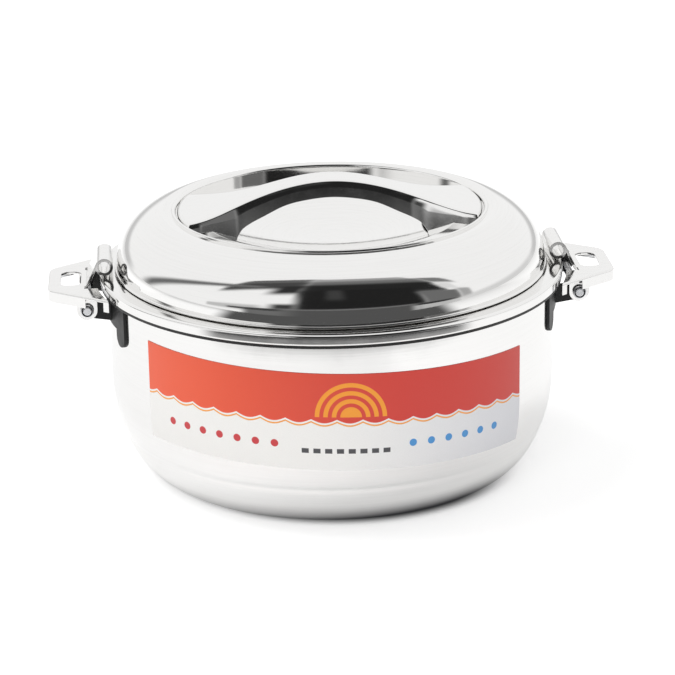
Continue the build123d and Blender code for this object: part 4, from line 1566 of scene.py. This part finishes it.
@dataclass
class Studio:
    """Floor, soft lamps, the surroundings that the metal reflects, and the camera.

    The floor's own fields are metres from the middle, degrees from the front towards +X,
    and strengths; polished metal shows its far part dark and the rest a little lifted.
    """

    floor_r: float = 6.0
    floor_grey: tuple = (0.9, 0.9, 0.9, 1.0)
    floor_far: tuple = (0.335, 0.370)
    floor_dark: float = 0.088
    floor_sector: tuple = (-58.0, 55.0, 6.0)
    floor_lift: float = 0.40
    gloss_lift: tuple = (-0.30, 0.20, 0.12, 0.09)
    gloss_right: tuple = (0.06, 0.16, 0.0, 0.14)
    gloss_rear: tuple = (0.12, 0.35, 0.0, 0.12)
    gloss_foot: tuple = (0.10, 0.17, 0.07, 0.0)
    # grey of the contact shadow painted into the floor, then where that painted shadow lies round the foot
    # and how strong it is
    contact_grey: tuple = (0.12, 0.12, 0.13, 1.0)
    contact_middle: tuple = (0.003, 0.0, 0.0)
    contact: tuple = (0.080, 0.096)
    contact_seen: tuple = (0.0765, 0.087)
    contact_left: tuple = (-70.0, 15.0, 0.25, 1.0)
    contact_right: tuple = (35.0, 78.0, 1.0, 0.12)
    sky: float = 0.62
    bright: float = 0.96
    key: float = 10.0
    fill: float = 6.0
    distance: float = 1.2
    raise_deg: float = 18.86
    turn_deg: float = 4.0
    roll_deg: float = 0.97
    focal_px: float = 2615.0
    centre_px: float = 331.8
    aim_z: float = 0.060
    panels: tuple = (
        Panel(-2.9, -0.40, 1.85, 5.00, 0.13, 0.35, 0.30),
        Panel(-2.7, -0.40, 1.85, 3.30, 0.065, 0.35, 0.35),
        Panel(-0.55, 0.75, -0.11, 0.11, 0.16, 0.15, 0.09, facing=-90.0, start=0.577, slant=1.25, bow=0.25),
        Panel(-0.45, 1.95, 0.90, 4.60, 0.37, 0.10, 0.20),
        Panel(-0.45, 1.95, 0.90, 3.30, 0.16, 0.10, 0.50),
        Panel(-0.45, 1.90, 0.90, 2.30, 0.020, 0.10, 0.35),
        Panel(1.90, 3.20, 2.10, 3.60, 0.20, 0.30, 0.30),
        Panel(-0.45, 1.10, 0.24, 1.40, 0.016, 0.10, 0.05),
        Panel(-0.95, -0.40, 1.15, 2.20, 0.03, 0.18, 0.20),
        Panel(-0.75, -0.40, 0.24, 0.50, 0.05, 0.12, 0.08),
        Panel(-0.12, 0.06, 0.70, 1.40, 0.05, 0.06, 0.15),
        Panel(1.05, 2.40, 0.16, 0.96, 0.155, 0.12, 0.08),
        Panel(2.40, 3.60, 0.10, 1.10, 0.40, 0.30, 0.15),
        Panel(1.85, 2.60, 1.15, 1.85, 0.75, 0.15, 0.15),
        Panel(0.88, 2.30, -0.70, 0.16, 0.50, 0.06, 0.04),
        Panel(-3.0, -0.90, 0.12, 0.42, 0.55, 0.15, 0.08),
        Panel(-1.15, 0.87, -0.70, 0.26, 0.088, 0.15, 0.05),
        Panel(-1.15, -0.50, -0.70, 0.26, 0.16, 0.20, 0.05),
        Panel(0.82, 2.20, 0.165, 0.26, 0.03, 0.12, 0.015),
        Panel(-1.70, -0.60, 0.17, 0.27, 0.05, 0.12, 0.015),
        Panel(-1.2, 1.0, -0.60, 0.10, 0.60, 0.25, 0.05, facing=180.0),
        Panel(-0.5, 0.9, -0.60, 0.10, 0.70, 0.30, 0.05, facing=90.0),
    )

    def build(self) -> None:
        """Set up the whole studio."""
        self.floor()
        self.surroundings()
        self.lamp("key_lamp", (-0.75, 0.30, 1.5), self.key)
        self.lamp("fill_lamp", (-0.4, -1.4, 0.9), self.fill)
        self.camera()
        bpy.context.scene.view_settings.view_transform = "Standard"

    def floor(self) -> None:
        """Make the pale floor, white to the camera apart from the soft shadow and a painted contact shadow
        round the pot's foot.
        """
        mesh = bpy.data.meshes.new("studio_floor")
        work = bmesh.new()
        bmesh.ops.create_circle(work, cap_ends=True, radius=self.floor_r, segments=96)
        work.to_mesh(mesh)
        work.free()
        made, graph = new_material("studio_floor")
        path = graph.node("ShaderNodeLightPath").outputs
        place = graph.place()
        x, y = list(graph.split(place))[:2]
        reach = graph.vector("LENGTH", place)
        turn = graph.mul(graph.math("ARCTAN2", x, graph.mul(y, -1.0)), 180 / math.pi)
        ahead = graph.between(turn, *self.floor_sector)
        dark = graph.mul(graph.mul(graph.ramp(reach, *self.floor_far), ahead), path["Is Glossy Ray"])
        clear = self.contact_shadow(graph, place, turn, path["Is Camera Ray"])
        # painted shadow: the floor's colour turns to the contact grey round the pot's foot
        shade = graph.mix(clear, self.contact_grey, self.floor_grey)
        paper = graph.node("ShaderNodeBsdfDiffuse", {"Color": shade})
        gloss = graph.add(graph.ramp(x, *self.gloss_lift), graph.ramp(x, *self.gloss_right))
        gloss = graph.add(gloss, graph.ramp(y, *self.gloss_rear))
        gloss = graph.add(gloss, graph.ramp(reach, *self.gloss_foot))
        lift = graph.add(graph.mul(path["Is Camera Ray"], self.floor_lift),
                         graph.mul(path["Is Glossy Ray"], gloss))
        lit = graph.node("ShaderNodeAddShader", {0: paper.outputs[0], 1: graph.glow(graph.mul(lift, clear))})
        black = graph.glow(self.floor_dark)
        mixed = graph.node("ShaderNodeMixShader", {0: dark, 1: lit.outputs[0], 2: black})
        graph.node("ShaderNodeOutputMaterial", {0: mixed.outputs[0]})
        mesh.materials.append(made)
        link("studio_floor", mesh)

    def contact_shadow(self, graph: Graph, place: Socket, turn: Socket, camera: Socket) -> Socket:
        """Paint a narrow dark shadow line into the floor's colour where the pot stands, strongest at the
        front right.

        Args:
            graph: the floor's graph.
            place: the place on the floor.
            turn: its angle from the front towards +X, in degrees.
            camera: 1 for rays from the camera.

        Returns:
            1 where the floor is clear and less in the shadow.
        """
        aside = graph.vector("DISTANCE", place, self.contact_middle)
        seen = graph.mul(graph.ramp(aside, *self.contact_seen), camera)
        clear = graph.math("MAXIMUM", graph.ramp(aside, *self.contact), seen)
        weight = graph.mul(graph.ramp(turn, *self.contact_left), graph.ramp(turn, *self.contact_right))
        return graph.blend(weight, 1.0, clear)

    def wall(self, graph: Graph, way: Socket, facing: float) -> tuple:
        """Measure where a direction meets one wall of the studio.

        Args:
            graph: the world's graph.
            way: the direction.
            facing: degrees from the front towards +X at which the wall stands.

        Returns:
            How far across and how far up it meets the wall, and 1 where it does at all.
        """
        turn = math.radians(facing)
        side = graph.vector("DOT_PRODUCT", way, (math.cos(turn), math.sin(turn), 0))
        depth = graph.vector("DOT_PRODUCT", way, (math.sin(turn), -math.cos(turn), 0))
        near = graph.math("MAXIMUM", depth, 0.02)
        return (graph.math("DIVIDE", side, near), graph.math("DIVIDE", graph.split(way)[2], near),
                graph.ramp(depth, 0.0, 0.15))

    def surroundings(self) -> None:
        """Build the world: white to the camera, soft light, panels for polished metal."""
        world = bpy.data.worlds.new("studio")
        bpy.context.scene.world = world
        world.use_nodes = True
        graph = Graph(world.node_tree)
        path = graph.node("ShaderNodeLightPath").outputs
        way = graph.node("ShaderNodeTexCoord").outputs["Generated"]
        walls = {facing: self.wall(graph, way, facing) for facing in sorted({p.facing for p in self.panels})}
        level = self.bright
        for panel in self.panels:
            across, up, mask = walls[panel.facing]
            if panel.slant:
                rise = graph.math("MULTIPLY_ADD", across, panel.bow, panel.slant)
                up = graph.sub(graph.sub(up, panel.start), graph.mul(rise, across))
            mask = graph.mul(mask, graph.between(across, panel.left, panel.right, panel.side_soft))
            mask = graph.mul(mask, graph.between(up, panel.low, panel.high, panel.edge_soft))
            level = graph.blend(mask, level, panel.level)
        direct = graph.blend(path["Is Glossy Ray"], self.sky, level)
        seen = graph.math("MAXIMUM", path["Is Camera Ray"], path["Is Transmission Ray"])
        strength = graph.blend(seen, direct, 1.0)
        back = graph.node("ShaderNodeBackground", {"Color": WHITE, "Strength": strength})
        graph.node("ShaderNodeOutputWorld", {0: back.outputs[0]})

    def lamp(self, name: str, place: Point3, power: float, size: float = 1.0) -> None:
        """Hang one soft square lamp aimed at the middle of the pot.

        Args:
            name: name of the lamp.
            place: its place in metres.
            power: its power in watts.
            size: its side in metres.
        """
        light = bpy.data.lights.new(name, "AREA")
        light.size = size
        light.energy = power
        lamp = link(name, light)
        aim = Vector((0, 0, self.aim_z)) - Vector(place)
        lamp.matrix_world = Matrix.Translation(place) @ aim.to_track_quat("-Z", "Y").to_matrix().to_4x4()
        lamp.visible_glossy = False
        lamp.visible_camera = False

    def camera(self) -> None:
        """Place the camera in front, a little to the left and above."""
        rise, turn, roll = (math.radians(a) for a in (self.raise_deg, self.turn_deg, self.roll_deg))
        back = Vector((-math.sin(turn) * math.cos(rise), -math.cos(turn) * math.cos(rise), math.sin(rise)))
        right = Vector((math.cos(turn), -math.sin(turn), 0.0))
        up = back.cross(right)
        across = right * math.cos(roll) - up * math.sin(roll)
        above = up * math.cos(roll) + right * math.sin(roll)
        place = Vector((0, 0, self.aim_z)) + back * self.distance
        data = bpy.data.cameras.new("camera")
        data.sensor_width = 36.0
        data.lens = self.focal_px / IMAGE_SIZE * data.sensor_width
        data.shift_x = (IMAGE_SIZE / 2 - self.centre_px) / IMAGE_SIZE
        data.shift_y = -data.shift_x
        data.clip_start = 0.05
        camera = link("camera", data)
        camera.matrix_world = Matrix.Translation(place) @ Matrix((across, above, back)).transposed().to_4x4()
        bpy.context.scene.camera = camera


def main() -> None:
    """Build the object and its studio, piece by piece."""
    logging.basicConfig(level=logging.INFO, format="%(message)s")
    pot, lid = Pot(), Lid()
    for assembly in (pot, FrontLabel(pot), lid, BridgeHandle(lid=lid), ClampHandle(Side.LEFT),
                     ClampHandle(Side.RIGHT), PinCaps(), Insulation(), Studio()):
        log.info("%s", type(assembly).__name__)
        assembly.build()


if __name__ == "__main__":
    main()
